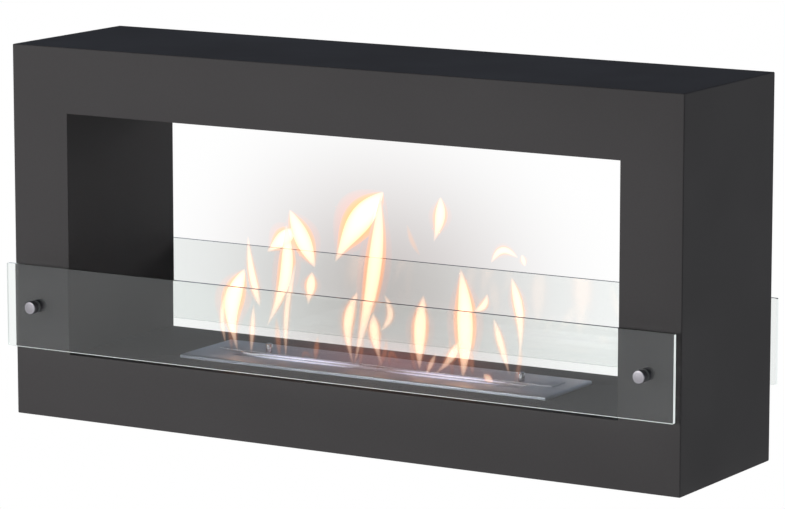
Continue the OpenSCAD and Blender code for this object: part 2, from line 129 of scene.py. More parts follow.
class Shape:
    """A bmesh under construction, with the moves that the pieces share."""

    def __init__(self) -> None:
        """Starts empty."""
        self.bm = bmesh.new()

    def box(self, low: Vector, high: Vector) -> "Shape":
        """Adds a box.

        Args:
            low: Its lowest corner.
            high: Its highest corner.

        Returns:
            This shape.
        """
        size = Vector(high) - Vector(low)
        middle = (Vector(high) + Vector(low)) / 2
        bmesh.ops.create_cube(
            self.bm, size=1.0, matrix=Matrix.Translation(middle) @ Matrix.Diagonal((*size, 1.0)))
        return self

    def rectangle(self, low: Sequence[float], high: Sequence[float], radius: float = 0.0,
                  steps: int = 5) -> "Shape":
        """Adds a rectangular outline in plan.

        Args:
            low: Its lowest x and y.
            high: Its highest x and y.
            radius: Radius of its corners.
            steps: Segments of each corner.

        Returns:
            This shape.
        """
        size = (high[0] - low[0], high[1] - low[1])
        middle = at((low[0] + high[0]) / 2, (low[1] + high[1]) / 2, 0.0)
        made = bmesh.ops.create_grid(self.bm, x_segments=1, y_segments=1, size=0.5,
                                     matrix=middle @ Matrix.Diagonal((*size, 1.0, 1.0)))
        corners = made["verts"]
        if radius:
            corners = bmesh.ops.bevel(
                self.bm, geom=corners, offset=radius, segments=steps, profile=0.5,
                affect="VERTICES", material=-1)["verts"]
        faces = {face for corner in corners for face in corner.link_faces}
        bmesh.ops.delete(self.bm, geom=list(faces), context="FACES_ONLY")
        return self

    def circle(self, x: float, y: float, radius: float, steps: int = 34,
               stretch: float = 0.0) -> "Shape":
        """Adds a round outline in plan, or a slot with round ends along y.

        Args:
            x: Its middle.
            y: Its middle.
            radius: Its radius.
            steps: Its segments; for a slot, not a multiple of four.
            stretch: How much longer than wide a slot is.

        Returns:
            This shape.
        """
        made = bmesh.ops.create_circle(self.bm, cap_ends=False, radius=radius, segments=steps,
                                       matrix=at(x, y, 0.0))
        for vert in made["verts"]:
            vert.co.y += math.copysign(stretch / 2, vert.co.y - y)
        return self

    def fill(self) -> "Shape":
        """Fills the outlines, facing up; one inside another is a hole."""
        bmesh.ops.triangle_fill(self.bm, use_beauty=True, use_dissolve=False, edges=self.bm.edges[:])
        bmesh.ops.recalc_face_normals(self.bm, faces=self.bm.faces[:])
        if sum(face.normal.z for face in self.bm.faces) < 0:
            bmesh.ops.reverse_faces(self.bm, faces=self.bm.faces[:])
        return self

    def thicken(self, depth: float) -> "Shape":
        """Gives a filled plan a thickness.

        Args:
            depth: How far it grows along +Z.

        Returns:
            This shape.
        """
        made = bmesh.ops.extrude_face_region(self.bm, geom=self.bm.faces[:])
        bmesh.ops.translate(self.bm, vec=(0.0, 0.0, depth), verts=fresh(made))
        return self

    def cut(self, axis: int, *places: float) -> "Shape":
        """Cuts every face where it crosses some planes.

        Args:
            axis: The axis that the planes look along.
            *places: Where they are on it.

        Returns:
            This shape.
        """
        normal = Vector((axis == 0, axis == 1, axis == 2))
        for place in places:
            bmesh.ops.bisect_plane(self.bm, geom=self.parts(), dist=WELD,
                                   plane_co=normal * place, plane_no=normal)
        return self

    def parts(self) -> list:
        """Every vertex, edge and face."""
        return self.bm.verts[:] + self.bm.edges[:] + self.bm.faces[:]

    def pull(self, test: Callable[[Vector, Vector], bool], move: Sequence[float]) -> "Shape":
        """Extrudes the faces that pass a test.

        Args:
            test: Takes a face's middle and its normal.
            move: How far and which way the faces go.

        Returns:
            This shape.
        """
        self.bm.normal_update()
        faces = [face for face in self.bm.faces if test(face.calc_center_median(), face.normal)]
        made = bmesh.ops.extrude_face_region(self.bm, geom=faces)
        bmesh.ops.translate(self.bm, vec=move, verts=fresh(made))
        left = [face for face in faces if face.is_valid]
        bmesh.ops.delete(self.bm, geom=left, context="FACES_ONLY")
        wires = [edge for edge in self.bm.edges if edge.is_wire]
        bmesh.ops.delete(self.bm, geom=wires, context="EDGES")
        return self

    def bevel(self, radius: float, steps: int = 3,
              test: Callable[[Vector], bool] = lambda middle: True) -> "Shape":
        """Rounds the sharp edges whose middles pass a test.

        Args:
            radius: Width taken off each face.
            steps: Segments of the rounding; one makes a chamfer.
            test: Takes an edge's middle.

        Returns:
            This shape.
        """
        self.bm.normal_update()
        edges = [edge for edge in self.bm.edges
                 if edge.is_manifold and edge.calc_face_angle(0.0) > SHARP
                 and test((edge.verts[0].co + edge.verts[1].co) / 2)]
        bmesh.ops.bevel(self.bm, geom=edges, offset=radius, offset_type="OFFSET", segments=steps,
                        profile=0.5, affect="EDGES", material=-1, clamp_overlap=True)
        return self

    def lathe(self, profile: Sequence[tuple[float, float]], closed: bool = False,
              steps: int = 48) -> "Shape":
        """Turns a profile round the Z axis.

        Args:
            profile: Radius and height of each point.
            closed: Whether the last point joins the first, as on a ring.
            steps: Segments of the turn.

        Returns:
            This shape.
        """
        verts = [self.bm.verts.new((radius, 0.0, height)) for radius, height in profile]
        pairs = list(zip(verts, verts[1:])) + ([(verts[-1], verts[0])] if closed else [])
        edges = [self.bm.edges.new(pair) for pair in pairs]
        bmesh.ops.spin(self.bm, geom=verts + edges, cent=(0, 0, 0), axis=(0, 0, 1), dvec=(0, 0, 0),
                       angle=math.tau, steps=steps, use_merge=True, use_duplicate=False)
        return self.weld()

    def thread(self, radius: float, depth: float, pitch: float, low: float, high: float,
               steps: int = 14) -> "Shape":
        """Adds a threaded rod along Z.

        Args:
            radius: Its outer radius.
            depth: Depth of the thread.
            pitch: Rise of each turn.
            low: Its lower end.
            high: Its upper end.
            steps: Segments of each turn.

        Returns:
            This shape.
        """
        turns = math.ceil((high - low) / pitch) + 3
        start = low - 1.5 * pitch
        verts = [self.bm.verts.new((r, 0.0, start + z)) for r, z in
                 ((radius, 0.0), (radius - depth, pitch / 2), (radius, pitch))]
        edges = [self.bm.edges.new(pair) for pair in zip(verts, verts[1:])]
        bmesh.ops.spin(self.bm, geom=verts + edges, cent=(0, 0, 0), axis=(0, 0, 1),
                       dvec=(0, 0, pitch / steps), angle=math.tau * turns, steps=steps * turns,
                       use_merge=False, use_duplicate=False)
        self.weld()
        for place, inner in ((low, True), (high, False)):
            bmesh.ops.bisect_plane(self.bm, geom=self.parts(), dist=WELD / 10,
                                   plane_co=(0, 0, place), plane_no=(0, 0, 1),
                                   clear_inner=inner, clear_outer=not inner)
        rims = [edge for edge in self.bm.edges if edge.is_boundary]
        bmesh.ops.holes_fill(self.bm, edges=rims, sides=0)
        return self

    def weld(self) -> "Shape":
        """Makes vertices that lie together one."""
        bmesh.ops.remove_doubles(self.bm, verts=self.bm.verts[:], dist=WELD)
        return self

    def place(self, matrix: Matrix) -> "Shape":
        """Moves the whole shape."""
        bmesh.ops.transform(self.bm, matrix=matrix, verts=self.bm.verts[:])
        return self

    def face_out(self) -> "Shape":
        """Points every face outwards."""
        bmesh.ops.recalc_face_normals(self.bm, faces=self.bm.faces[:])
        if self.bm.calc_volume(signed=True) < 0:
            bmesh.ops.reverse_faces(self.bm, faces=self.bm.faces[:])
        return self

    def add(self, other: "Shape", places: Iterable[Matrix] = (Matrix(),)) -> "Shape":
        """Adds copies of another closed shape, which is used up.

        Args:
            other: The shape to copy.
            places: Where each copy goes.

        Returns:
            This shape.
        """
        other.face_out()
        copy = bpy.data.meshes.new("copy")
        other.bm.to_mesh(copy)
        other.bm.free()
        for matrix in places:
            first = len(self.bm.verts)
            self.bm.from_mesh(copy)
            self.bm.verts.ensure_lookup_table()
            bmesh.ops.transform(self.bm, matrix=matrix, verts=self.bm.verts[first:])
        bpy.data.meshes.remove(copy)
        return self

    def sort(self) -> "Shape":
        """Puts vertices, edges and faces in an order by place, the same in every run."""
        for sequence, place in ((self.bm.verts, lambda vert: vert.co),
                                (self.bm.edges, lambda edge: edge.verts[0].co + edge.verts[1].co),
                                (self.bm.faces, lambda face: face.calc_center_median())):
            by_place = sorted(sequence, key=lambda part: tuple(round(c / WELD) for c in place(part)))
            for index, part in enumerate(by_place):
                part.index = index
            sequence.sort()
        return self

    def mesh(self, name: str, flat: Flat) -> bpy.types.Object:
        """Finishes the shape as an object at the origin.

        Args:
            name: The object's name.
            flat: Which faces keep flat shading.

        Returns:
            The new object.
        """
        mesh = bpy.data.meshes.new(name)
        self.sort().bm.normal_update()
        for face in self.bm.faces:
            face.smooth = not any(abs(face.normal.dot(Vector(axis))) > 0.9999 for axis in flat.value)
        self.bm.to_mesh(mesh)
        self.bm.free()
        mesh.set_sharp_from_angle(angle=SHARP)
        thing = bpy.data.objects.new(name, mesh)
        bpy.context.scene.collection.objects.link(thing)
        return thing


# ---- finishes ----


class Bench:
    """A node tree, with short ways to add to it."""

    def __init__(self, tree: bpy.types.NodeTree) -> None:
        """Starts on a tree, which may have a Principled shader."""
        self.tree = tree
        self.shader = tree.nodes.get("Principled BSDF")

    def add(self, kind: str, inputs: dict | None = None, **options: object) -> bpy.types.Node:
        """Adds a node.

        Args:
            kind: The node's type.
            inputs: Numbers or other nodes' sockets, by the name or index of the input they feed.
            **options: The node's own settings.

        Returns:
            The node.
        """
        node = self.tree.nodes.new(kind)
        for key, value in options.items():
            setattr(node, key, value)
        for key, value in (inputs or {}).items():
            if isinstance(value, bpy.types.NodeSocket):
                self.tree.links.new(value, node.inputs[key])
            else:
                node.inputs[key].default_value = value
        return node

    def set(self, **values: object) -> None:
        """Sets or links the shader's inputs.

        Args:
            **values: A number, a colour or a socket for each input; an underscore is a space.
        """
        for key, value in values.items():
            socket = self.shader.inputs[key.replace("_", " ")]
            if isinstance(value, bpy.types.NodeSocket):
                self.tree.links.new(value, socket)
            else:
                socket.default_value = value

    def coords(self, middle: Sequence[float] = (0, 0, 0), scale: Sequence[float] = (1, 1, 1),
               turn: Sequence[float] = (0, 0, 0)) -> bpy.types.NodeSocket:
        """Object coordinates, centred on a point, turned and then scaled.

        Args:
            middle: The point that becomes the origin.
            scale: Factor on each axis.
            turn: Rotation about each axis.

        Returns:
            The vector socket.
        """
        source = self.add("ShaderNodeTexCoord").outputs["Object"]
        centred = self.add("ShaderNodeVectorMath", {0: source, 1: tuple(middle)}, operation="SUBTRACT")
        return self.add("ShaderNodeMapping", {"Vector": centred.outputs[0], "Rotation": tuple(turn),
                                              "Scale": tuple(scale)}).outputs[0]

    def noise(self, vector: bpy.types.NodeSocket, scale: float, detail: float = 2.0,
              rough: float = 0.5, lumpy: float = 0.0) -> bpy.types.NodeSocket:
        """Noise over a vector.

        Args:
            vector: Where it is read.
            scale: How fine it is.
            detail: How many finer layers it has.
            rough: How strong they are.
            lumpy: How far it is distorted.

        Returns:
            The value socket.
        """
        return self.add("ShaderNodeTexNoise", {"Vector": vector, "Scale": scale, "Detail": detail,
                                               "Roughness": rough, "Distortion": lumpy}).outputs[0]

    def spread(self, value: bpy.types.NodeSocket, low: float, high: float,
               source: tuple[float, float] = (0.3, 0.7)) -> bpy.types.NodeSocket:
        """Maps a value to another range.

        Args:
            value: The value.
            low: What the source range's lower end becomes.
            high: What its upper end becomes.
            source: The source range.

        Returns:
            The value socket.
        """
        return self.add("ShaderNodeMapRange", {"Value": value, "From Min": source[0],
                                               "From Max": source[1], "To Min": low,
                                               "To Max": high}).outputs[0]

    def blend(self, value: bpy.types.NodeSocket, low: Colour, high: Colour) -> bpy.types.NodeSocket:
        """A colour between two.

        Args:
            value: The value that chooses.
            low: The colour at 0.3 and below.
            high: The colour at 0.7 and above.

        Returns:
            The colour socket.
        """
        ramp = self.add("ShaderNodeValToRGB", {"Fac": value})
        ramp.color_ramp.elements[0].position, ramp.color_ramp.elements[1].position = 0.3, 0.7
        ramp.color_ramp.elements[0].color = (*low, 1.0)
        ramp.color_ramp.elements[1].color = (*high, 1.0)
        return ramp.outputs[0]

    def bump(self, height: bpy.types.NodeSocket, depth: float, strength: float = 1.0,
             under: bpy.types.NodeSocket | None = None) -> bpy.types.NodeSocket:
        """Bump from a height.

        Args:
            height: The height socket.
            depth: Depth of the relief.
            strength: How strongly it shows.
            under: Another bump's normal to build on.

        Returns:
            The normal socket.
        """
        inputs = {"Height": height, "Distance": depth, "Strength": strength}
        if under is not None:
            inputs["Normal"] = under
        return self.add("ShaderNodeBump", inputs).outputs[0]


def material_of(name: str, lay: Callable[[Bench], None]) -> bpy.types.Material:
    """A material, made when it is first asked for.

    Args:
        name: Its name.
        lay: Builds its nodes.

    Returns:
        The material.
    """
    material = bpy.data.materials.get(name)
    if not material:
        material = bpy.data.materials.new(name)
        material.use_nodes = True
        lay(Bench(material.node_tree))
    return material


@dataclass(frozen=True)
class Finish:
    """A surface finish, and the record's material slot that it belongs to."""

    name: str
    slot: str

    def material(self) -> bpy.types.Material:
        """The finish's material."""
        return material_of(self.name, self.lay)

    def lay(self, bench: Bench) -> None:
        """Builds the finish's nodes.

        Args:
            bench: The node tree to build in.
        """
        raise NotImplementedError


@dataclass(frozen=True)
class PowderCoat(Finish):
    """Graphite powder coat with a fine orange peel."""

    name: str = "graphite_powder_coat"
    slot: str = "powder_coat"
    dark: Colour = (0.083, 0.080, 0.082)
    light: Colour = (0.095, 0.092, 0.094)

    def lay(self, bench: Bench) -> None:
        """Builds the grain, the orange peel and slow changes of gloss.

        Args:
            bench: The node tree to build in.
        """
        coords = bench.coords()
        grain = bench.noise(coords, 1500.0, 2.0, 0.6)
        peel = bench.noise(coords, 330.0, 1.5)
        slow = bench.noise(coords, 7.0, 2.0)
        bench.set(Base_Color=bench.blend(grain, self.dark, self.light),
                  Roughness=bench.spread(slow, 0.56, 0.64), Specular_IOR_Level=0.10,
                  Normal=bench.bump(grain, 0.05 * MM, 0.35, bench.bump(peel, 0.09 * MM, 0.25)))


@dataclass(frozen=True)
class BrushedSteel(Finish):
    """Stainless sheet brushed along X."""

    name: str = "brushed_stainless"
    slot: str = "stainless"
    dark: Colour = (0.56, 0.585, 0.645)
    light: Colour = (0.71, 0.74, 0.805)
    rough: tuple[float, float] = (0.36, 0.48)

    def lay(self, bench: Bench) -> None:
        """Builds long fine scratches and a few broad ones.

        Args:
            bench: The node tree to build in.
        """
        fine = bench.noise(bench.coords(scale=(6, 1400, 1400)), 1.0, 3.0, 0.7)
        broad = bench.noise(bench.coords(scale=(2, 90, 90)), 1.0, 2.0)
        both = bench.add("ShaderNodeMath", {0: fine, 1: broad}, operation="ADD").outputs[0]
        half = bench.add("ShaderNodeMath", {0: both, 1: 0.5}, operation="MULTIPLY").outputs[0]
        bench.set(Base_Color=bench.blend(half, self.dark, self.light),
                  Roughness=bench.spread(half, *self.rough), Metallic=1.0,
                  Normal=bench.bump(fine, 0.008 * MM, 0.3))


@dataclass(frozen=True)
class TurnedSteel(Finish):
    """Stainless steel turned on a lathe, with fine rings round its axis."""

    name: str = "turned_stainless"
    slot: str = "stainless"
    middle: Triple = (0.0, 0.0, 0.0)
    turn: Triple = (0.0, 0.0, 0.0)
    dark: Colour = (0.23, 0.222, 0.24)
    light: Colour = (0.30, 0.292, 0.312)

    def lay(self, bench: Bench) -> None:
        """Builds rings from the distance to the axis and the height along it.

        Args:
            bench: The node tree to build in.
        """
        place = bench.add("ShaderNodeSeparateXYZ", {0: bench.coords(self.middle, turn=self.turn)})
        flat = bench.add("ShaderNodeCombineXYZ", {0: place.outputs[0], 1: place.outputs[1]})
        radius = bench.add("ShaderNodeVectorMath", {0: flat.outputs[0]}, operation="LENGTH")
        rings = bench.add("ShaderNodeCombineXYZ", {0: radius.outputs["Value"], 1: place.outputs[2]})
        fine = bench.noise(rings.outputs[0], 3200.0, 2.0)
        broad = bench.noise(rings.outputs[0], 700.0, 1.0)
        bench.set(Base_Color=bench.blend(broad, self.dark, self.light),
                  Roughness=bench.spread(fine, 0.26, 0.42), Metallic=1.0,
                  Normal=bench.bump(fine, 0.010 * MM, 0.5))


@dataclass(frozen=True)
class ZincSteel(Finish):
    """Galvanised sheet with its spangle."""

    name: str = "galvanised_steel"
    slot: str = "zinc_steel"

    def lay(self, bench: Bench) -> None:
        """Builds crystals of slightly different grey.

        Args:
            bench: The node tree to build in.
        """
        coords = bench.coords()
        cells = bench.add("ShaderNodeTexVoronoi", {"Vector": coords, "Scale": 110.0})
        tone = bench.add("ShaderNodeSeparateColor", {0: cells.outputs["Color"]}).outputs[0]
        fine = bench.noise(coords, 900.0, 2.0)
        bench.set(Base_Color=bench.blend(tone, (0.50, 0.52, 0.54), (0.66, 0.68, 0.70)),
                  Roughness=bench.spread(tone, 0.34, 0.50, (0.0, 1.0)), Metallic=1.0,
                  Normal=bench.bump(fine, 0.01 * MM, 0.4))


@dataclass(frozen=True)
class PlatedSteel(Finish):
    """Bright zinc plating on screws, nuts and studs."""

    name: str = "zinc_plating"
    slot: str = "zinc_steel"

    def lay(self, bench: Bench) -> None:
        """Builds a soft mottle.

        Args:
            bench: The node tree to build in.
        """
        mottle = bench.noise(bench.coords(), 620.0, 3.0)
        bench.set(Base_Color=bench.blend(mottle, (0.58, 0.59, 0.60), (0.74, 0.75, 0.77)),
                  Roughness=bench.spread(mottle, 0.22, 0.36), Metallic=1.0,
                  Normal=bench.bump(mottle, 0.01 * MM, 0.3))


@dataclass(frozen=True)
class ClearGlass(Finish):
    """Tempered glass with a faint green body."""

    name: str = "clear_tempered_glass"
    slot: str = "clear_glass"

    def lay(self, bench: Bench) -> None:
        """Builds clear glass whose depth is tinted, and faint roller waves.

        Args:
            bench: The node tree to build in.
        """
        waves = bench.noise(bench.coords(scale=(1, 1, 0.3)), 9.0, 1.0)
        bench.set(Base_Color=(0.925, 0.945, 0.935, 1.0), Roughness=0.0, IOR=1.5,
                  Transmission_Weight=1.0, Normal=bench.bump(waves, 0.02 * MM, 0.15))
        depth = bench.add("ShaderNodeVolumeAbsorption",
                          {"Color": (0.55, 0.86, 0.72, 1.0), "Density": 2.4})
        output = bench.tree.nodes["Material Output"]
        bench.tree.links.new(depth.outputs[0], output.inputs["Volume"])


@dataclass(frozen=True)
class Silicone(Finish):
    """Milky silicone."""

    name: str = "milky_silicone"
    slot: str = "silicone"

    def lay(self, bench: Bench) -> None:
        """Builds a soft milky body with a dull skin.

        Args:
            bench: The node tree to build in.
        """
        haze = bench.noise(bench.coords(), 500.0, 2.0)
        bench.set(Base_Color=bench.blend(haze, (0.30, 0.32, 0.33), (0.38, 0.40, 0.41)),
                  Roughness=bench.spread(haze, 0.42, 0.55), Transmission_Weight=0.25, IOR=1.42,
                  Normal=bench.bump(haze, 0.02 * MM, 0.3))


@dataclass(frozen=True)
class FootRubber(Finish):
    """Black moulded rubber."""

    name: str = "black_rubber"
    slot: str = "foot_rubber"

    def lay(self, bench: Bench) -> None:
        """Builds a fine matt grain with dusty patches.

        Args:
            bench: The node tree to build in.
        """
        coords = bench.coords()
        grain = bench.noise(coords, 1100.0, 3.0)
        dust = bench.noise(coords, 60.0, 3.0)
        bench.set(Base_Color=bench.blend(dust, (0.022, 0.022, 0.023), (0.040, 0.039, 0.038)),
                  Roughness=bench.spread(grain, 0.70, 0.88),
                  Normal=bench.bump(grain, 0.05 * MM, 0.6))


@dataclass(frozen=True)
class MineralFibre(Finish):
    """Pressed mineral or ceramic fibre."""

    name: str = "mineral_fibre"
    slot: str = "mineral_fibre"

    def lay(self, bench: Bench) -> None:
        """Builds matted fibres in two directions over lumps.

        Args:
            bench: The node tree to build in.
        """
        along = bench.noise(bench.coords(scale=(160, 1300, 900)), 1.0, 3.0, 0.7, 0.6)
        across = bench.noise(bench.coords(scale=(1300, 170, 900), turn=(0, 0, 0.5)), 1.0, 3.0, 0.7, 0.6)
        lumps = bench.noise(bench.coords(), 120.0, 3.0)
        fibres = bench.add("ShaderNodeMath", {0: along, 1: across}, operation="MAXIMUM").outputs[0]
        bench.set(Base_Color=bench.blend(fibres, (0.62, 0.59, 0.52), (0.84, 0.81, 0.74)), Roughness=0.95,
                  Normal=bench.bump(fibres, 0.3 * MM, 0.7, bench.bump(lumps, 0.8 * MM, 0.5)))


@dataclass(frozen=True)
class GroundEdge(Finish):
    """Satin of the panes' ground edges and holes, with a painted white glow for the light that they catch.
    """

    name: str = "satin_glass_edge"
    slot: str = "clear_glass"

    def lay(self, bench: Bench) -> None:
        """Builds a pale green satin with the grinding wheel's marks, and a painted white glow on it.

        Args:
            bench: The node tree to build in.
        """
        marks = bench.noise(bench.coords(scale=(60, 900, 900)), 1.0, 2.0)
        bench.set(Base_Color=bench.blend(marks, (0.90, 0.96, 0.94), (0.96, 1.0, 0.98)),
                  Roughness=bench.spread(marks, 0.40, 0.60), IOR=1.5,
                  # painted glow: a steady pale emission stands in for the light that the ground edges catch
                  # and carry along the pane
                  Emission_Color=(0.94, 1.0, 0.98, 1.0), Emission_Strength=0.60,
                  Normal=bench.bump(marks, 0.02 * MM, 0.3))


COAT = PowderCoat()
# the panes' ground edges, with a painted glow
EDGE = GroundEdge()
BRUSHED = BrushedSteel()
TANK = BrushedSteel(name="mill_stainless", dark=(0.42, 0.42, 0.43), light=(0.54, 0.54, 0.55),
                    rough=(0.32, 0.46))
KNOB = BrushedSteel(name="polished_knob", dark=(0.62, 0.62, 0.64), light=(0.72, 0.72, 0.74),
                    rough=(0.12, 0.2))
BARREL = TurnedSteel(name="turned_barrel", dark=(0.10, 0.105, 0.115), light=(0.16, 0.165, 0.18))
ZINC = ZincSteel()
PLATED = PlatedSteel()
GLASS = ClearGlass()
SILICONE = Silicone()
RUBBER = FootRubber()
FIBRE = MineralFibre()


def piece(name: str, shape: Shape, body: str, finish: Finish, replaced: Sequence[str],
          flat: Flat = Flat.SHEET, second: Finish | None = None) -> bpy.types.Object:
    """Turns a finished shape into a piece of the fireplace.

    Args:
        name: The piece's name.
        shape: Its shape, in place.
        body: The CAD body that it moves with.
        finish: Its finish.
        replaced: The CAD nodes that it stands for.
        flat: Which of its faces keep flat shading.
        second: The finish of the faces with material index 1, if there are any.

    Returns:
        The piece's object.
    """
    thing = shape.mesh(name, flat)
    for coat in (finish, second) if second else (finish,):
        thing.data.materials.append(coat.material())
    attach(thing, body)
    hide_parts(*replaced)
    LOG.info("%s: %d faces on %s, %s", name, len(thing.data.polygons), body, finish.name)
    return thing


def dress(node: str, finish: Finish) -> None:
    """Gives a carried-over CAD node its finish.

    Args:
        node: The node's name.
        finish: Its finish.
    """
    thing = frame["nodes"][node]
    material = finish.material()
    if thing.data.materials:
        for index in range(len(thing.data.materials)):
            thing.data.materials[index] = material
    else:
        thing.data.materials.append(material)
    LOG.info("%s: kept, %s", node, finish.name)


# ---- casing ----


@dataclass
class Casing:
    """Housing of folded and welded sheet, with the tunnel through it."""

    body: str = "housing"
    sheet: float = 2 * MM
    flange: float = 18 * MM
    corner: float = 1.6 * MM          # rounding of the outer edges
    steps: int = 5                    # segments of it
    mouth_edge: float = 1.0 * MM      # rounding of the tunnel's edges
    hole_edge: float = 0.6 * MM       # rounding of the burner's hole
    punched_edge: float = 0.3 * MM    # rounding left by the punch
    stud_hole: float = 3.3 * MM
    side_flange_low: float = 22 * MM  # above a side's lower edge
    burner_gap: float = 5 * MM        # round the safety tray
    vent_pitch: float = 80 * MM
    vent_row: float = 36 * MM
    vent_radius: float = 2.5 * MM
    vent_stretch: float = 55 * MM
    screw_hole: float = 2.3 * MM
    screw_length: float = 9 * MM
    foot_hole: float = 2.05 * MM
    foot_screw_length: float = 6 * MM
    foot_radius: float = 15 * MM
    foot_seat: float = 1 * MM         # thickness of rubber under a foot screw's head
    low: Vector = field(default_factory=lambda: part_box("front_panel")[0])
    high: Vector = field(default_factory=lambda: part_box("rear_panel")[1])
    wall_right: Vector = field(default_factory=lambda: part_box("tunnel_right_wall")[0])
    hearth: float = field(default_factory=lambda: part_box("hearth_plate")[1].z)
    roof: float = field(default_factory=lambda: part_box("tunnel_ceiling")[0].z)

    def build(self) -> None:
        """Builds the visible sheets and dresses the hidden ones."""
        for side, node in ((Side.FRONT, "front_panel"), (Side.REAR, "rear_panel")):
            self.face_ring(side, node)
        self.top_sheet()
        for sign, node in ((-1, "left_side_panel"), (1, "right_side_panel")):
            self.side_sheet(sign, node)
        for sign, node in ((-1, "tunnel_left_wall"), (1, "tunnel_right_wall")):
            self.tunnel_wall(sign, node)
        self.tunnel_roof()
        self.hearth_sheet()
        self.bottom_sheet()
        self.screws_and_feet()
        for node in ("lintel_stiffeners", "hearth_bearers", "burner_well"):
            dress(node, ZINC)
        dress("base_rails", COAT)
        dress("insulation_boards", FIBRE)

    def face_ring(self, side: Side, node: str) -> None:
        """Builds the flat ring on one long side, with rounded outer edges and mouth.

        Args:
            side: Which long side it is on.
            node: The CAD node that it stands for.
        """
        mouth_x = self.wall_right.x
        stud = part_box(f"cap_{side.name.lower()}_right")
        stud_x, stud_z = (stud[0].x + stud[1].x) / 2, (stud[0].z + stud[1].z) / 2
        shape = Shape().rectangle((self.low.x, self.low.z), (self.high.x, self.high.z))
        shape.rectangle((-mouth_x, self.hearth), (mouth_x, self.roof))
        for sign in (-1, 1):
            shape.circle(sign * stud_x, stud_z, self.stud_hole, 24)
        shape.fill().thicken(self.sheet)

        def outer(middle: Vector) -> bool:
            """Whether an edge is on the outer rim and off the inner face.

            Args:
                middle: The edge's middle.

            Returns:
                Whether it is.
            """
            on_x = abs(abs(middle.x) - self.high.x) < WELD
            on_z = min(abs(middle.y - self.low.z), abs(middle.y - self.high.z)) < WELD
            return (on_x or on_z) and middle.z > self.sheet / 4

        def mouth(middle: Vector) -> bool:
            """Whether an edge is on the mouth's outer edge.

            Args:
                middle: The edge's middle.

            Returns:
                Whether it is.
            """
            in_x = abs(middle.x) < mouth_x + WELD
            in_z = self.hearth - WELD < middle.y < self.roof + WELD
            return in_x and in_z and middle.z > self.sheet - WELD

        shape.bevel(self.corner, self.steps, outer).bevel(self.mouth_edge, 3, mouth)
        inner_face = Vector((0, side.value * (self.high.y - self.sheet), 0))
        shape.place(outward(side, inner_face)).face_out()
        piece(f"{side.name.lower()}_face_ring", shape, self.body, COAT, [node])

    def flanged(self, shape: Shape, face: int, sign: int, edge: float, span_axis: int,
                span: tuple[float, float]) -> Shape:
        """Folds a flange along each long edge of a sheet.

        Args:
            shape: The sheet.
            face: The axis that the sheet's faces look along.
            sign: Which way the flanges go on that axis.
            edge: The sheet's largest y.
            span_axis: The axis that the flanges run along.
            span: Where they start and end on it.

        Returns:
            The shape.
        """
        shape.cut(1, self.sheet - edge, edge - self.sheet).cut(span_axis, *span)
        move = [0.0, 0.0, 0.0]
        move[face] = sign * (self.flange - self.sheet)

        def at_edge(middle: Vector, normal: Vector) -> bool:
            """Whether a flange grows from a face, by its middle and its normal."""
            return (normal[face] * sign > 0.9 and abs(middle.y) > edge - self.sheet
                    and span[0] < middle[span_axis] < span[1])

        return shape.pull(at_edge, move)

    def top_sheet(self) -> None:
        """Builds the top with rounded ends and its flanges."""
        low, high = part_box("top_panel")
        shape = Shape().box((low.x, low.y, high.z - self.sheet), high)
        reach = high.x - self.sheet
        self.flanged(shape, 2, -1, high.y, 0, (-reach, reach))
        shape.bevel(self.corner, self.steps,
                    lambda middle: abs(middle.x) > reach and middle.z > high.z - WELD
                    and abs(middle.y) < high.y - WELD)
        piece("top_sheet", shape.face_out(), self.body, COAT, ["top_panel"])

    def side_sheet(self, sign: int, node: str) -> None:
        """Builds an outer side with its flanges.

        Args:
            sign: -1 for the left side, 1 for the right one.
            node: The CAD node that it stands for.
        """
        low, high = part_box(node)
        outer = high.x if sign > 0 else low.x
        xs = sorted((outer, outer - sign * self.sheet))
        shape = Shape().box((xs[0], low.y, low.z), (xs[1], high.y, high.z))
        self.flanged(shape, 0, -sign, high.y, 2, (low.z + self.side_flange_low, high.z - self.flange))
        shape.bevel(self.mouth_edge, 3, lambda middle: middle.z < low.z + WELD
                    and abs(middle.x - outer) < WELD)
        name = "left_side_sheet" if sign < 0 else "right_side_sheet"
        piece(name, shape.face_out(), self.body, COAT, [node])

    def tunnel_wall(self, sign: int, node: str) -> None:
        """Builds one inner side of the tunnel with its flanges.

        Args:
            sign: -1 for the left side, 1 for the right one.
            node: The CAD node that it stands for.
        """
        low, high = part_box(node)
        face = low.x if sign > 0 else high.x
        xs = sorted((face, face + sign * self.sheet))
        shape = Shape().box((xs[0], low.y, low.z), (xs[1], high.y, high.z))
        self.flanged(shape, 0, sign, high.y, 2, (low.z + self.flange, high.z - self.flange))
        name = "tunnel_left_sheet" if sign < 0 else "tunnel_right_sheet"
        piece(name, shape.face_out(), self.body, COAT, [node])

    def tunnel_roof(self) -> None:
        """Builds the tunnel's roof with its flanges."""
        low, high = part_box("tunnel_ceiling")
        shape = Shape().box(low, (high.x, high.y, low.z + self.sheet))
        self.flanged(shape, 2, 1, high.y, 0, (low.x, high.x))
        piece("tunnel_roof", shape.face_out(), self.body, COAT, ["tunnel_ceiling"])

    def hearth_sheet(self) -> None:
        """Builds the tunnel's floor, with the burner's hole and its flanges."""
        low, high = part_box("hearth_plate")
        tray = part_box("safety_tray")
        gap = self.burner_gap
        shape = Shape().rectangle((low.x, low.y), (high.x, high.y))
        shape.rectangle((tray[0].x - gap, tray[0].y - gap), (tray[1].x + gap, tray[1].y + gap), 2 * MM)
        shape.fill().thicken(self.sheet).place(at(0, 0, high.z - self.sheet))
        self.flanged(shape, 2, -1, high.y, 0, (low.x, high.x))
        shape.bevel(self.hole_edge, 3, lambda middle: middle.z > high.z - WELD
                    and abs(middle.x) < tray[1].x + 2 * gap and abs(middle.y) < tray[1].y + 2 * gap)
        piece("hearth_sheet", shape.face_out(), self.body, COAT, ["hearth_plate"])

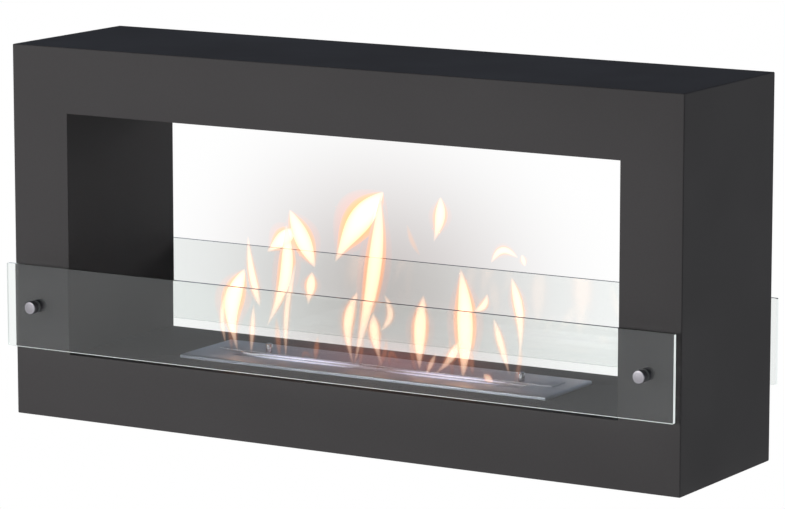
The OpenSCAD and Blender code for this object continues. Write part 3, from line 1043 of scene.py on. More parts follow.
    def screw_places(self) -> list[tuple[float, float]]:
        """Where the bottom plate is screwed to the rails, in plan."""
        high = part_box("bottom_screws")[1]
        x, y = high.x - Screw.head, high.y - Screw.head
        return [(i * x / 2, sign * y) for i in range(-2, 3) for sign in (-1, 1)]

    def foot_places(self) -> list[tuple[float, float]]:
        """Where the feet are, in plan."""
        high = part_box("rubber_feet")[1]
        x, y = high.x - self.foot_radius, high.y - self.foot_radius
        return [(sx * x, sy * y) for sx in (-1, 1) for sy in (-1, 1)]

    def bottom_sheet(self) -> None:
        """Builds the bottom plate with its punched holes."""
        low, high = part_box("bottom_plate")
        shape = Shape().rectangle((low.x, low.y), (high.x, high.y), 1.5 * MM)
        for places, radius in ((self.screw_places(), self.screw_hole),
                               (self.foot_places(), self.foot_hole)):
            for x, y in places:
                shape.circle(x, y, radius, 18)
        for column in range(-2, 3):
            for sign in (-1, 1):
                shape.circle(column * self.vent_pitch, sign * self.vent_row, self.vent_radius, 14,
                             self.vent_stretch)
        shape.fill().thicken(self.sheet).place(at(0, 0, low.z))
        shape.bevel(self.punched_edge, 2, lambda middle: middle.z < low.z + WELD)
        piece("bottom_sheet", shape.face_out(), self.body, COAT, ["bottom_plate"])

    def screws_and_feet(self) -> None:
        """Builds the screws that show below, and the feet."""
        floor = self.low.z
        down = Matrix.Rotation(math.pi, 4, "X")
        for name, node, length, places, seat, turn in (
                ("bottom_screw_set", "bottom_screws", self.screw_length, self.screw_places(), 0.0, 0.4),
                ("foot_screw_set", "foot_screws", self.foot_screw_length, self.foot_places(),
                 self.foot_seat, 0.7)):
            heads = Shape().add(Screw().shape(length), [
                at(x, y, floor - seat) @ down @ Matrix.Rotation(turn * n, 4, "Z")
                for n, (x, y) in enumerate(places)])
            piece(name, heads, self.body, PLATED, [node], Flat.TURNED_Z)
        rubber = Shape().lathe(self.foot_profile(self.foot_radius), True, 64)
        pads = Shape().add(rubber, [at(x, y, 0) for x, y in self.foot_places()])
        piece("rubber_foot_set", pads, self.body, RUBBER, ["rubber_feet"], Flat.NONE)

    def foot_profile(self, radius: float) -> Profile:
        """Half of a foot's section, from its screw hole round its grooved underside.

        Args:
            radius: The foot's radius.

        Returns:
            Radius and height of each point.
        """
        thick = self.low.z
        points = [(2.3 * MM, thick), (2.3 * MM, thick - 1.0 * MM), (5 * MM, thick - 1.0 * MM), (5 * MM, 0)]
        for groove in (7.5 * MM, 10.5 * MM):
            points += [(groove, 0), (groove + 0.3 * MM, 0.5 * MM), (groove + 0.7 * MM, 0.5 * MM),
                       (groove + 1.0 * MM, 0)]
        points += [(radius - 1.0 * MM, 0), (radius - 0.3 * MM, 0.3 * MM), (radius, 1.0 * MM),
                   (radius, thick - 0.4 * MM), (radius - 0.4 * MM, thick)]
        return points


@dataclass
class Screw:
    """Pan-head screw with a cross recess and a thread."""

    radius: float = 2.0 * MM
    head: float = 4.0 * MM
    head_height: float = 2.2 * MM
    arm: float = 2.0 * MM
    arm_width: float = 0.45 * MM
    recess: float = 1.3 * MM
    pitch: float = 0.7 * MM
    thread_depth: float = 0.3 * MM
    overlap: float = 0.2 * MM    # of the shank into the head

    def shape(self, length: float) -> Shape:
        """Builds a screw with its head upwards and the head's underside at z = 0.

        Args:
            length: Length of its shank.

        Returns:
            The closed shape.
        """
        h = self.head_height
        crown = Shape().lathe([(self.radius * 0.8, 0), (self.head, 0), (self.head, 0.35 * h),
                               (0.96 * self.head, 0.62 * h), (0.86 * self.head, 0.84 * h),
                               (0.70 * self.head, h), (0.58 * self.head, h)], False, 32)
        rim = [edge for edge in crown.bm.edges if edge.is_boundary
               and edge.verts[0].co.z > h - WELD and edge.verts[1].co.z > h - WELD]
        crown.bm.normal_update()
        made = bmesh.ops.extrude_edge_only(crown.bm, edges=rim)
        for vert in fresh(made):
            angle = math.atan2(vert.co.y, vert.co.x)
            off = abs((angle + math.pi / 4) % (math.pi / 2) - math.pi / 4)
            reach = min(self.arm / math.cos(off), self.arm_width / max(math.sin(off), 1e-3))
            vert.co.x, vert.co.y = reach * math.cos(angle), reach * math.sin(angle)
        cross = [edge for edge in fresh(made, bmesh.types.BMEdge) if edge.is_boundary]
        floor = fresh(bmesh.ops.extrude_edge_only(crown.bm, edges=cross))
        bmesh.ops.scale(crown.bm, vec=(0.8, 0.8, 1.0), verts=floor)
        bmesh.ops.translate(crown.bm, vec=(0, 0, -self.recess), verts=floor)
        bmesh.ops.holes_fill(crown.bm, edges=[e for e in crown.bm.edges if e.is_boundary], sides=0)
        shank = Shape().thread(self.radius, self.thread_depth, self.pitch, -length, self.overlap, 10)
        return Shape().add(crown).add(shank)


# ---- guard glass ----


@dataclass
class GuardGlass:
    """The two panes and the stand-offs that hold them."""

    body: str = "housing"
    arris: float = 0.8 * MM
    corner: float = 1.5 * MM        # of a pane
    bore: float = 3.3 * MM          # round a stud
    sleeve: float = 5.0 * MM        # radius of a pane's holes
    washer: float = 1 * MM          # thickness
    washer_inset: float = 0.2 * MM  # how much smaller than its cap a washer is
    soft_edge: float = 0.2 * MM
    stud: float = 3 * MM
    thread_depth: float = 0.55 * MM
    pitch: float = 1 * MM

    def build(self) -> None:
        """Builds both sides."""
        places = []
        for side in Side:
            self.pane(side)
            for sign, hand in ((-1, "left"), (1, "right")):
                places.append((side, sign, hand))
        self.fixed_parts(places)
        for side, sign, hand in places:
            self.cap(side, f"{side.name.lower()}_{hand}")

    def axis(self, side: Side, sign: int) -> Vector:
        """Where a stand-off's axis leaves the face ring.

        Args:
            side: The long side that it is on.
            sign: -1 for the left one, 1 for the right one.

        Returns:
            The place.
        """
        low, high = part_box(f"cap_{side.name.lower()}_{'left' if sign < 0 else 'right'}")
        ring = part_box(f"{side.name.lower()}_panel")
        outer = ring[0].y if side is Side.FRONT else ring[1].y
        return Vector(((low.x + high.x) / 2, outer, (low.z + high.z) / 2))

    def pane(self, side: Side) -> None:
        """Builds one pane with its two holes, ground all round but for the polished top edge.

        Args:
            side: The long side that it is on.
        """
        node = f"{side.name.lower()}_glass"
        low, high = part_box(node)
        axis = self.axis(side, 1)
        thick = high.y - low.y
        shape = Shape().rectangle((low.x, low.z), (high.x, high.z), self.corner, 4)
        for sign in (-1, 1):
            shape.circle(sign * axis.x, axis.z, self.sleeve, 48)
        shape.fill().thicken(thick)
        shape.bevel(self.arris, 1, lambda middle: middle.z < WELD or middle.z > thick - WELD)
        shape.bm.normal_update()
        # the ground faces take the edge finish, which carries a painted glow
        for face in shape.bm.faces:
            on_rim, on_top = abs(face.normal.z) < 0.99, face.normal.y >= 0.5
            face.material_index = int(on_rim and not on_top)
        inner = low.y if side is Side.REAR else high.y
        shape.place(outward(side, Vector((0, inner, 0)))).face_out()
        piece(f"{side.name.lower()}_pane", shape, self.body, GLASS, [node], second=EDGE)

    def ring(self, outer: float, inner: float, low: float, high: float) -> Shape:
        """Turns a soft ring with rounded edges.

        Args:
            outer: Its outer radius.
            inner: Its inner radius.
            low: Where it starts along its axis.
            high: Where it ends.

        Returns:
            The closed shape.
        """
        r = self.soft_edge
        profile = [(inner, low + r), (inner + r, low), (outer - r, low),
                   (outer - 0.3 * r, low + 0.3 * r), (outer, low + r), (outer, high - r),
                   (outer - 0.3 * r, high - 0.3 * r), (outer - r, high),
                   (inner + r, high), (inner, high - r)]
        return Shape().lathe(profile, True, 64)

    def fixed_parts(self, places: list[tuple[Side, int, str]]) -> None:
        """Builds the barrels, seat washers and sleeves, and dresses the weld nuts.

        Args:
            places: Side, sign and hand of each stand-off.
        """
        matrices = [outward(side, self.axis(side, sign)) for side, sign, _ in places]
        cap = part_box("cap_rear_right")
        radius = (cap[1].x - cap[0].x) / 2
        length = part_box("standoff_barrels")[1].y - self.axis(Side.REAR, 1).y
        turned = [(self.bore, 0), (radius - 0.5 * MM, 0), (radius - 0.5 * MM, 0.6 * MM),
                  (radius - 0.1 * MM, 0.8 * MM), (radius, 1.1 * MM), (radius, length - 0.5 * MM),
                  (radius - 0.15 * MM, length - 0.15 * MM), (radius - 0.5 * MM, length),
                  (self.bore, length)]
        barrels = Shape().add(Shape().lathe(turned, True, 64), matrices)
        piece("standoff_barrel_set", barrels, self.body, BARREL, ["standoff_barrels"], Flat.TURNED_Y)
        low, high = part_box("front_glass")
        start = length + self.washer
        for name, node, outer, ends in (
                ("seat_washer_set", "seat_washers", radius - self.washer_inset, (length, start)),
                ("glass_sleeve_set", "glass_sleeves", self.sleeve, (start, start + high.y - low.y))):
            rings = Shape().add(self.ring(outer, self.bore, *ends), matrices)
            piece(name, rings, self.body, SILICONE, [node], Flat.TURNED_Y)
        dress("weld_nuts", PLATED)

    def cap(self, side: Side, key: str) -> None:
        """Builds one screw cap, its washer and its threaded stud.

        Args:
            side: The long side that it is on.
            key: The end of its CAD nodes' names.
        """
        axis = self.axis(side, -1 if key.endswith("left") else 1)
        matrix = outward(side, axis)
        low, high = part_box(f"cap_{key}")
        r = (high.x - low.x) / 2
        start, end = sorted(abs(y - axis.y) for y in (low.y, high.y))
        profile = [(0, start), (2.9 * MM, start), (r - 0.4 * MM, start), (r - 0.1 * MM, start + 0.1 * MM),
                   (r, start + 0.4 * MM), (r, end - 0.9 * MM), (r - 0.12 * MM, end - 0.55 * MM),
                   (r - 0.45 * MM, end - 0.2 * MM), (r - 0.8 * MM, end - 0.04 * MM),
                   (r - 1.1 * MM, end), (0, end)]
        finish = TurnedSteel(name=f"turned_cap_{key}", middle=tuple(axis), turn=(math.pi / 2, 0, 0))
        shape = Shape().lathe(profile, False, 64).place(matrix).face_out()
        piece(f"turned_cap_{key}", shape, f"cap_{key}", finish, [f"cap_{key}"], Flat.TURNED_Y)
        washer = self.ring(r - self.washer_inset, self.bore, start - self.washer, start)
        piece(f"soft_washer_{key}", washer.place(matrix).face_out(), f"washer_{key}", SILICONE,
              [f"cap_washer_{key}"], Flat.TURNED_Y)
        ends = sorted((corner.y - axis.y) * side.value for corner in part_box(f"cap_stud_{key}"))
        stud = Shape().thread(self.stud, self.thread_depth, self.pitch, *ends).place(matrix).face_out()
        piece(f"threaded_stud_{key}", stud, f"cap_{key}", PLATED, [f"cap_stud_{key}"], Flat.NONE)


# ---- burner ----


@dataclass
class Burner:
    """Lift-out burner: folded top plate, tank, ribs, ceramic blocks and safety tray."""

    body: str = "burner"
    sheet: float = 1.5 * MM
    bend: float = 2.0 * MM
    slot_half: float = 218 * MM
    slot_low: float = -28 * MM
    slot_high: float = -3 * MM
    slot_corner: float = 3 * MM
    collar: float = 7 * MM         # depth of the slot's folded rim
    guide: float = 2.15 * MM       # half the width of the slots that the pins run in
    guide_y: float = 14.5 * MM
    guide_travel: float = 28 * MM
    pin_head: float = 3.5 * MM
    block_gap: float = 1 * MM      # between a ceramic block and a rib
    half_rib: float = 0.75 * MM
    block_wear: float = 0.5 * MM   # unevenness of the blocks' tops

    def build(self) -> None:
        """Builds every piece of the burner."""
        self.top_plate()
        self.folded_box("fuel_tank", "fuel_tank_box")
        self.folded_box("safety_tray", "safety_tray_box")
        self.blocks()
        dress("tank_ribs", TANK)

    def top_plate(self) -> None:
        """Builds the folded plate with its rolled slot, its collar and the guide slots."""
        low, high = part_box("burner_plate")
        pin_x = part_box("guide_pins")[1].x - self.pin_head
        shape = Shape().rectangle((low.x, low.y), (high.x, high.y))
        shape.rectangle((-self.slot_half, self.slot_low), (self.slot_half, self.slot_high),
                        self.slot_corner, 4)
        for sign in (-1, 1):
            shape.circle(sign * pin_x, self.guide_y, self.guide, 18, self.guide_travel)
        shape.fill().place(at(0, 0, high.z))
        rims = [edge for edge in shape.bm.edges if edge.is_boundary]

        def skirt(test: Callable[[Vector], bool], depth: float) -> None:
            """Folds the rims that pass a test straight down.

            Args:
                test: Takes a rim edge's middle.
                depth: How far they go.
            """
            chosen = [edge for edge in rims if test((edge.verts[0].co + edge.verts[1].co) / 2)]
            made = bmesh.ops.extrude_edge_only(shape.bm, edges=chosen)
            bmesh.ops.translate(shape.bm, vec=(0, 0, -depth), verts=fresh(made))

        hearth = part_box("hearth_plate")[1].z
        skirt(lambda m: abs(m.x) > high.x - WELD or abs(m.y) > high.y - WELD, high.z - hearth)
        skirt(lambda m: abs(m.x) < self.slot_half + WELD and m.y < self.slot_high + WELD
              and m.y > self.slot_low - WELD and abs(m.y) < high.y - WELD, self.collar)
        bmesh.ops.recalc_face_normals(shape.bm, faces=shape.bm.faces[:])
        if max(shape.bm.faces, key=lambda face: face.calc_area()).normal.z < 0:
            bmesh.ops.reverse_faces(shape.bm, faces=shape.bm.faces[:])
        shape.bevel(self.bend, 4)
        bmesh.ops.solidify(shape.bm, geom=shape.bm.faces[:], thickness=self.sheet)
        piece("folded_burner_plate", shape.face_out(), self.body, BRUSHED, ["burner_plate"])

    def folded_box(self, node: str, name: str) -> None:
        """Builds an open-topped box of sheet with rounded bends.

        Args:
            node: The CAD node that it stands for.
            name: The piece's name.
        """
        low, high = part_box(node)
        shape = Shape().box(low, high)
        lid = [face for face in shape.bm.faces if face.calc_center_median().z > high.z - WELD]
        bmesh.ops.delete(shape.bm, geom=lid, context="FACES_ONLY")
        shape.bevel(self.bend, 4)
        bmesh.ops.solidify(shape.bm, geom=shape.bm.faces[:], thickness=self.sheet)
        piece(name, shape.face_out(), self.body, TANK, [node])

    def blocks(self) -> None:
        """Builds the three ceramic blocks, slightly uneven on top."""
        low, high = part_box("ceramic_absorbers")
        rib_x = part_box("tank_ribs")[1].x - self.half_rib
        clear = self.half_rib + self.block_gap
        stops = ((low.x, -rib_x - clear), (clear - rib_x, rib_x - clear), (rib_x + clear, high.x))
        whole = Shape()
        for x0, x1 in stops:
            block = Shape().box((x0, low.y, low.z), (x1, high.y, high.z))
            for axis, ends, count in ((0, (x0, x1), 26), (1, (low.y, high.y), 14), (2, (low.z, high.z), 4)):
                block.cut(axis, *(ends[0] + (ends[1] - ends[0]) * i / count for i in range(1, count)))
            top = [vert for vert in block.bm.verts if vert.co.z > high.z - WELD]
            for vert in top:
                wave = math.sin(310 * vert.co.x) * math.cos(270 * vert.co.y)
                vert.co.z -= self.block_wear * (1 + wave)
            edge = [vert for vert in block.bm.verts if len(vert.link_faces) < 4
                    or sum(edge.calc_face_angle(0.0) > SHARP for edge in vert.link_edges) > 1]
            bmesh.ops.smooth_vert(block.bm, verts=edge, factor=0.5, use_axis_x=True, use_axis_y=True,
                                  use_axis_z=True)
            whole.add(block)
        piece("ceramic_block_set", whole, self.body, FIBRE, ["ceramic_absorbers"], Flat.NONE)


@dataclass
class Shutter:
    """Sliding shutter with its two knobs, their screws and the guide pins."""

    body: str = "shutter"
    corner: float = 3 * MM
    rolled: float = 0.3 * MM        # rounding of its long edges
    knob_hole: float = 2.2 * MM
    pin_head: float = 3.5 * MM
    pin_shank: float = 2 * MM
    pin_head_height: float = 1.2 * MM
    screw_shank: float = 1.5 * MM
    screw_reach: float = 6 * MM     # into a knob
    knob_bore: float = 7 * MM
    neck: float = 0.45 * MM         # depth of the groove at a knob's foot

    def build(self) -> None:
        """Builds the slide and what is on it."""
        low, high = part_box("shutter")
        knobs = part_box("shutter_knobs")
        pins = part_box("guide_pins")
        radius = (knobs[1].y - knobs[0].y) / 2
        knob_y = (knobs[0].y + knobs[1].y) / 2
        knob_xs = (knobs[0].x + radius, knobs[1].x - radius)
        pin_x, pin_y = pins[1].x - self.pin_head, (pins[0].y + pins[1].y) / 2
        thick = high.z - low.z
        shape = Shape().rectangle((low.x, low.y), (high.x, high.y), self.corner, 5)
        for x in knob_xs:
            shape.circle(x, knob_y, self.knob_hole, 24)
        for sign in (-1, 1):
            shape.circle(sign * pin_x, pin_y, self.pin_shank, 24)
        shape.fill().thicken(thick).place(at(0, 0, low.z))
        shape.bevel(self.rolled, 2, lambda middle: abs(middle.x) > high.x - 4 * MM
                    or middle.y > high.y - WELD or middle.y < low.y + WELD)
        piece("shutter_slide_plate", shape.face_out(), self.body, BRUSHED, ["shutter"])
        self.knobs(knob_xs, knob_y, radius, high.z, knobs[1].z - high.z)
        shank, end = self.screw_shank, thick + self.screw_reach
        screw = Shape().lathe([(0, 0.9 * MM), (1.1 * MM, 0.9 * MM), (1.3 * MM, 0), (2.8 * MM, 0),
                               (shank, thick), (shank, end), (0, end)], False, 24)
        screws = Shape().add(screw, [at(x, knob_y, low.z) for x in knob_xs])
        piece("knob_screw_set", screws, self.body, PLATED, ["knob_screws"], Flat.TURNED_Z)
        base, top = pins[0].z, pins[1].z
        head, under = self.pin_head, base + self.pin_head_height
        pin = Shape().lathe([(0, base), (head - 0.4 * MM, base), (head, base + 0.4 * MM), (head, under),
                             (self.pin_shank, under), (self.pin_shank, top), (0, top)], False, 24)
        both = Shape().add(pin, [at(sign * pin_x, pin_y, 0) for sign in (-1, 1)])
        piece("guide_pin_set", both, self.body, PLATED, ["guide_pins"], Flat.TURNED_Z)

    def knobs(self, xs: Sequence[float], y: float, radius: float, base: float, height: float) -> None:
        """Builds the two turned knobs, each with a foot groove and a domed end.

        Args:
            xs: Where each is along the slot.
            y: Where both are across it.
            radius: Their radius.
            base: Where they stand.
            height: Their height.
        """
        r = radius
        profile = [(0, self.knob_bore), (self.screw_shank, self.knob_bore), (self.screw_shank, 0),
                   (r - 0.3 * MM, 0), (r, 0.3 * MM), (r, 1.6 * MM), (r - self.neck, 1.8 * MM),
                   (r - self.neck, 2.3 * MM), (r, 2.5 * MM), (r, height - 1.2 * MM),
                   (r - 0.2 * MM, height - 0.6 * MM), (r - 0.6 * MM, height - 0.2 * MM),
                   (r - 1.2 * MM, height), (0, height)]
        pair = Shape().add(Shape().lathe(profile), [at(x, y, base) for x in xs])
        piece("turned_knob_set", pair, self.body, KNOB, ["shutter_knobs"], Flat.TURNED_Z)


# ---- fire and studio ----


@dataclass(frozen=True)
class Glow:
    """Burning vapour, and the slot's painted highlight: what it takes from the light behind it, and what it
    adds.

    With a reach it fades from its middle to an ellipsoid's skin, and the reach is its half sizes.
    """

    name: str
    takes: Colour
    takes_density: float
    adds: Colour
    adds_strength: float
    reach: Triple | None = None

    def material(self) -> bpy.types.Material:
        """The glow's material."""
        return material_of(self.name, self.lay)

    def lay(self, bench: Bench) -> None:
        """Builds a volume that takes and adds light.

        Args:
            bench: The node tree to build in.
        """
        bench.tree.nodes.remove(bench.shader)
        takes = bench.add("ShaderNodeVolumeAbsorption", {"Color": (*self.takes, 1.0),
                                                         "Density": self.takes_density})
        adds = bench.add("ShaderNodeEmission", {"Color": (*self.adds, 1.0), "Strength": self.adds_strength})
        if self.reach:
            place = bench.coords(scale=[1 / half for half in self.reach])
            fade = bench.add("ShaderNodeTexGradient", {0: place}, gradient_type="QUADRATIC_SPHERE")
            for node, socket, most in ((takes, "Density", self.takes_density),
                                       (adds, "Strength", self.adds_strength)):
                part = bench.add("ShaderNodeMath", {0: fade.outputs["Fac"], 1: most}, operation="MULTIPLY")
                bench.tree.links.new(part.outputs[0], node.inputs[socket])
        both = bench.add("ShaderNodeAddShader", {0: takes.outputs[0], 1: adds.outputs[0]})
        bench.tree.links.new(both.outputs[0], bench.tree.nodes["Material Output"].inputs["Volume"])


@dataclass(frozen=True)
class Tongue:
    """One flame: a bowed line from its foot to its tip, thin at both ends.

    Places are in millimetres, along the slot and above the plate.
    """

    foot: tuple[float, float]
    tip: tuple[float, float]
    width: float
    bow: float = 0.0      # to the left of the way from foot to tip
    belly: float = 0.5    # share of the way where it is widest

    def ring(self, share: float) -> tuple[Vector, float]:
        """One section of the flame.

        Args:
            share: Its share of the way from foot to tip.

        Returns:
            Its middle and its radius.
        """
        foot, tip = (Vector((x, 0, z)) for x, z in (self.foot, self.tip))
        way = tip - foot
        left = Vector((-way.z, 0, way.x)).normalized()
        swell = math.sin(math.pi * share ** (math.log(0.5) / math.log(self.belly)))
        middle = foot + way * share + left * self.bow * math.sin(math.pi * share)
        return middle * MM, (1.0 + self.width * swell) / 2 * MM


@dataclass
class Fire:
    """Flames over the slot, and painted highlight bars in it. They are staged light, not a piece, and die
    down with the shutter.
    """

    halo: Glow = Glow("flame_halo", (1.0, 0.62, 0.50), 5.0, (1.0, 0.20, 0.07), 4.0)
    veil: Glow = Glow("flame_veil", (1.0, 0.74, 0.42), 42.0, (1.0, 0.34, 0.11), 30.0)
    heart: Glow = Glow("flame_heart", (1.0, 0.98, 0.90), 8.0, (1.0, 0.92, 0.76), 74.0)
    haze: Glow = Glow("flame_haze", (0.14, 0.03, 0.0), 14.5, (1.0, 0.2, 0.1), 0.0, (0.385, 0.055, 0.290))
    blush: Glow = Glow("flame_blush", (1.0, 1.0, 1.0), 0.0, (1.0, 0.12, 0.06), 5.0, (0.250, 0.045, 0.055))
    # painted highlight: bluish-white emitting bars stand in for the light on the slot's rims and the
    # shutter's lip
    slot_highlight: Glow = Glow("flame_bed", (0.9, 0.9, 1.0), 2.0, (0.86, 0.86, 1.10), 140.0)
    slot_y: float = -15.5 * MM
    bar_ys: tuple[float, float] = (-8.5 * MM, 7.5 * MM)    # painted highlights: glowing bars where the slot's rims and the shutter's lip catch light
    bar_xs: tuple[tuple[float, float], ...] = ((-214 * MM, -8 * MM), (-4 * MM, 214 * MM))
    bar_half: float = 3.5 * MM
    bar_zs: tuple[float, float] = (-1 * MM, 1.5 * MM)
    rings: int = 7
    thread: float = 5.0    # a tongue this thin, in mm, has no white heart
    tongues: tuple[Tongue, ...] = (
        # left group
        Tongue((-215, 0), (-205, 115), 26, 16, 0.65),
        Tongue((-180, 65), (-200, 160), 10, 5, 0.35),
        Tongue((-235, 10), (-230, 90), 6, 8),
        Tongue((-195, 0), (-190, 70), 6),
        Tongue((-225, 0), (-230, 50), 4),
        # forked flame
        Tongue((-170, 40), (-140, 180), 19, -14, 0.6),
        Tongue((-170, 140), (-125, 175), 22, 0, 0.6),
        Tongue((-95, 125), (-135, 200), 24, 0, 0.5),
        Tongue((-140, 0), (-125, 130), 7, 6),
        Tongue((-150, 0), (-155, 55), 5),
        Tongue((-105, 75), (-100, 120), 14, 0, 0.6),
        # tall flame with its leaf
        Tongue((-35, 0), (5, 230), 22, -8, 0.6),
        Tongue((-65, 135), (10, 235), 36, 5, 0.6),
        Tongue((10, 0), (-5, 75), 15, 4, 0.7),
        Tongue((-35, 0), (-30, 100), 15, 12, 0.65),
        Tongue((5, 50), (10, 100), 9, -14),
        Tongue((-25, 0), (-20, 60), 4),
        Tongue((0, 0), (15, 45), 4, -5),
        # middle and right group
        Tongue((65, 5), (70, 105), 19, 2, 0.55),
        Tongue((60, 0), (55, 60), 4, 4),
        Tongue((130, 0), (125, 145), 24, -6),
        Tongue((85, 0), (125, 50), 12, -5, 0.7),
        Tongue((145, 90), (165, 115), 9, -6),
        Tongue((145, 5), (140, 50), 5),
        Tongue((115, 0), (110, 55), 4),
        # far right
        Tongue((210, 10), (200, 140), 13, -10, 0.75),
        Tongue((200, 10), (175, 85), 9, 0, 0.6),
        Tongue((205, 0), (215, 60), 4, -4),
        # torn-off tongues and sparks in the air
        Tongue((170, 155), (210, 165), 9, 14),
        Tongue((215, 170), (220, 155), 6),
        Tongue((85, 175), (95, 235), 15, -4, 0.6),
        Tongue((65, 155), (45, 195), 4, 3),
        # licks over the slot
        Tongue((75, 0), (90, 30), 6),
        Tongue((20, 5), (35, 10), 4, 18),
        Tongue((-95, 0), (-90, 35), 5),
        Tongue((-115, 0), (-100, 5), 3, 9),
        Tongue((160, 10), (175, 0), 8),
    )

    def build(self) -> None:
        """Stages the tongues' halo, veil and heart, the haze, the blush and the painted highlight bars in
        the slot.
        """
        base = Vector((0, self.slot_y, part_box("burner_plate")[1].z))
        for glow, share, least in ((self.halo, 2.3, 0), (self.veil, 1.45, 0),
                                   (self.heart, 0.96, self.thread)):
            whole = Shape()
            for tongue in self.tongues:
                if tongue.width > least:
                    whole.add(self.body(tongue, share))
            self.light(glow, whole, base)
        for glow, middle in ((self.haze, (10 * MM, 0, 100 * MM)), (self.blush, (20 * MM, 16 * MM, 6 * MM))):
            ball = Shape()
            bmesh.ops.create_icosphere(ball.bm, subdivisions=3, radius=1.0,
                                       matrix=Matrix.Diagonal((*glow.reach, 1.0)))
            self.light(glow, ball, base + Vector(middle))
        # painted highlight: glowing bars along the slot's front and rear rims
        bars = Shape()
        for y in self.bar_ys:
            for x0, x1 in self.bar_xs:
                bars.add(Shape().box((x0, y - self.bar_half, self.bar_zs[0]),
                                     (x1, y + self.bar_half, self.bar_zs[1])))
        self.light(self.slot_highlight, bars, base)

    def light(self, glow: Glow, shape: Shape, place: Vector) -> None:
        """Stages one glowing body over the burner: burning vapour, or the painted highlight bars.

        Args:
            glow: What it is made of.
            shape: Its shape.
            place: Where its origin goes.
        """
        thing = shape.mesh(glow.name, Flat.NONE)
        thing.data.materials.append(glow.material())
        thing.location = place
        smooth = thing.modifiers.new("soften", "SUBSURF")
        smooth.levels = smooth.render_levels = 2
        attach(thing, "burner")
        thing.visible_diffuse = False
        self.die_down(thing)
        LOG.info("%s: %d faces, staged", glow.name, len(thing.data.polygons))

    def body(self, tongue: Tongue, share: float) -> Shape:
        """Builds one tongue.

        Args:
            tongue: The flame.
            share: Factor on its radius.

        Returns:
            The closed shape.
        """
        shape = Shape()
        sections = [tongue.ring(index / (self.rings - 1)) for index in range(self.rings)]
        points = [middle for middle, _ in sections]
        edges: list[bmesh.types.BMEdge] = []
        last = Matrix()
        for index, (point, radius) in enumerate(sections):
            ahead = points[min(index + 1, len(points) - 1)] - points[max(index - 1, 0)]
            lean = Matrix.Rotation(math.atan2(ahead.x, ahead.z), 4, "Y")
            r = radius * share
            here = Matrix.Translation(point) @ lean @ Matrix.Diagonal((r, 0.8 * r, 1.0, 1.0))
            if index == 0:
                bmesh.ops.create_circle(shape.bm, cap_ends=True, radius=1.0, segments=10, matrix=here)
                edges = shape.bm.edges[:]
            else:
                made = bmesh.ops.extrude_edge_only(shape.bm, edges=edges)
                ring = fresh(made)
                edges = [edge for edge in fresh(made, bmesh.types.BMEdge)
                         if all(vert in ring for vert in edge.verts)]
                bmesh.ops.transform(shape.bm, matrix=here @ last.inverted(), verts=ring)
            last = here
        bmesh.ops.holes_fill(shape.bm, edges=edges, sides=0)
        return shape

    def die_down(self, thing: bpy.types.Object) -> None:
        """Shrinks a flame, or the painted highlight, into the slot as the shutter closes or the burner is
        lifted out.

        Args:
            thing: The flame's object.
        """
        travel = {joint["name"]: joint["range_m"][1] for joint in frame["joints"] if "range_m" in joint}
        for body, axis, reach in (("shutter", "y", -travel["shutter_slide"]),
                                  ("burner", "z", travel["burner_lift"])):
            rule = thing.constraints.new("TRANSFORM")
            rule.target = frame["bodies"][body]
            rule.map_from, rule.map_to = "LOCATION", "SCALE"
            low, high = sorted((0.0, reach))
            setattr(rule, f"from_min_{axis}", low)
            setattr(rule, f"from_max_{axis}", high)
            for letter in "xyz":
                setattr(rule, f"map_to_{letter}_from", axis.upper())
                setattr(rule, f"to_min_{letter}_scale", 0.001 if reach < 0 else 1.0)
                setattr(rule, f"to_max_{letter}_scale", 1.0 if reach < 0 else 0.001)
            rule.mix_mode_scale = "MULTIPLY"
            rule.owner_space = "LOCAL"


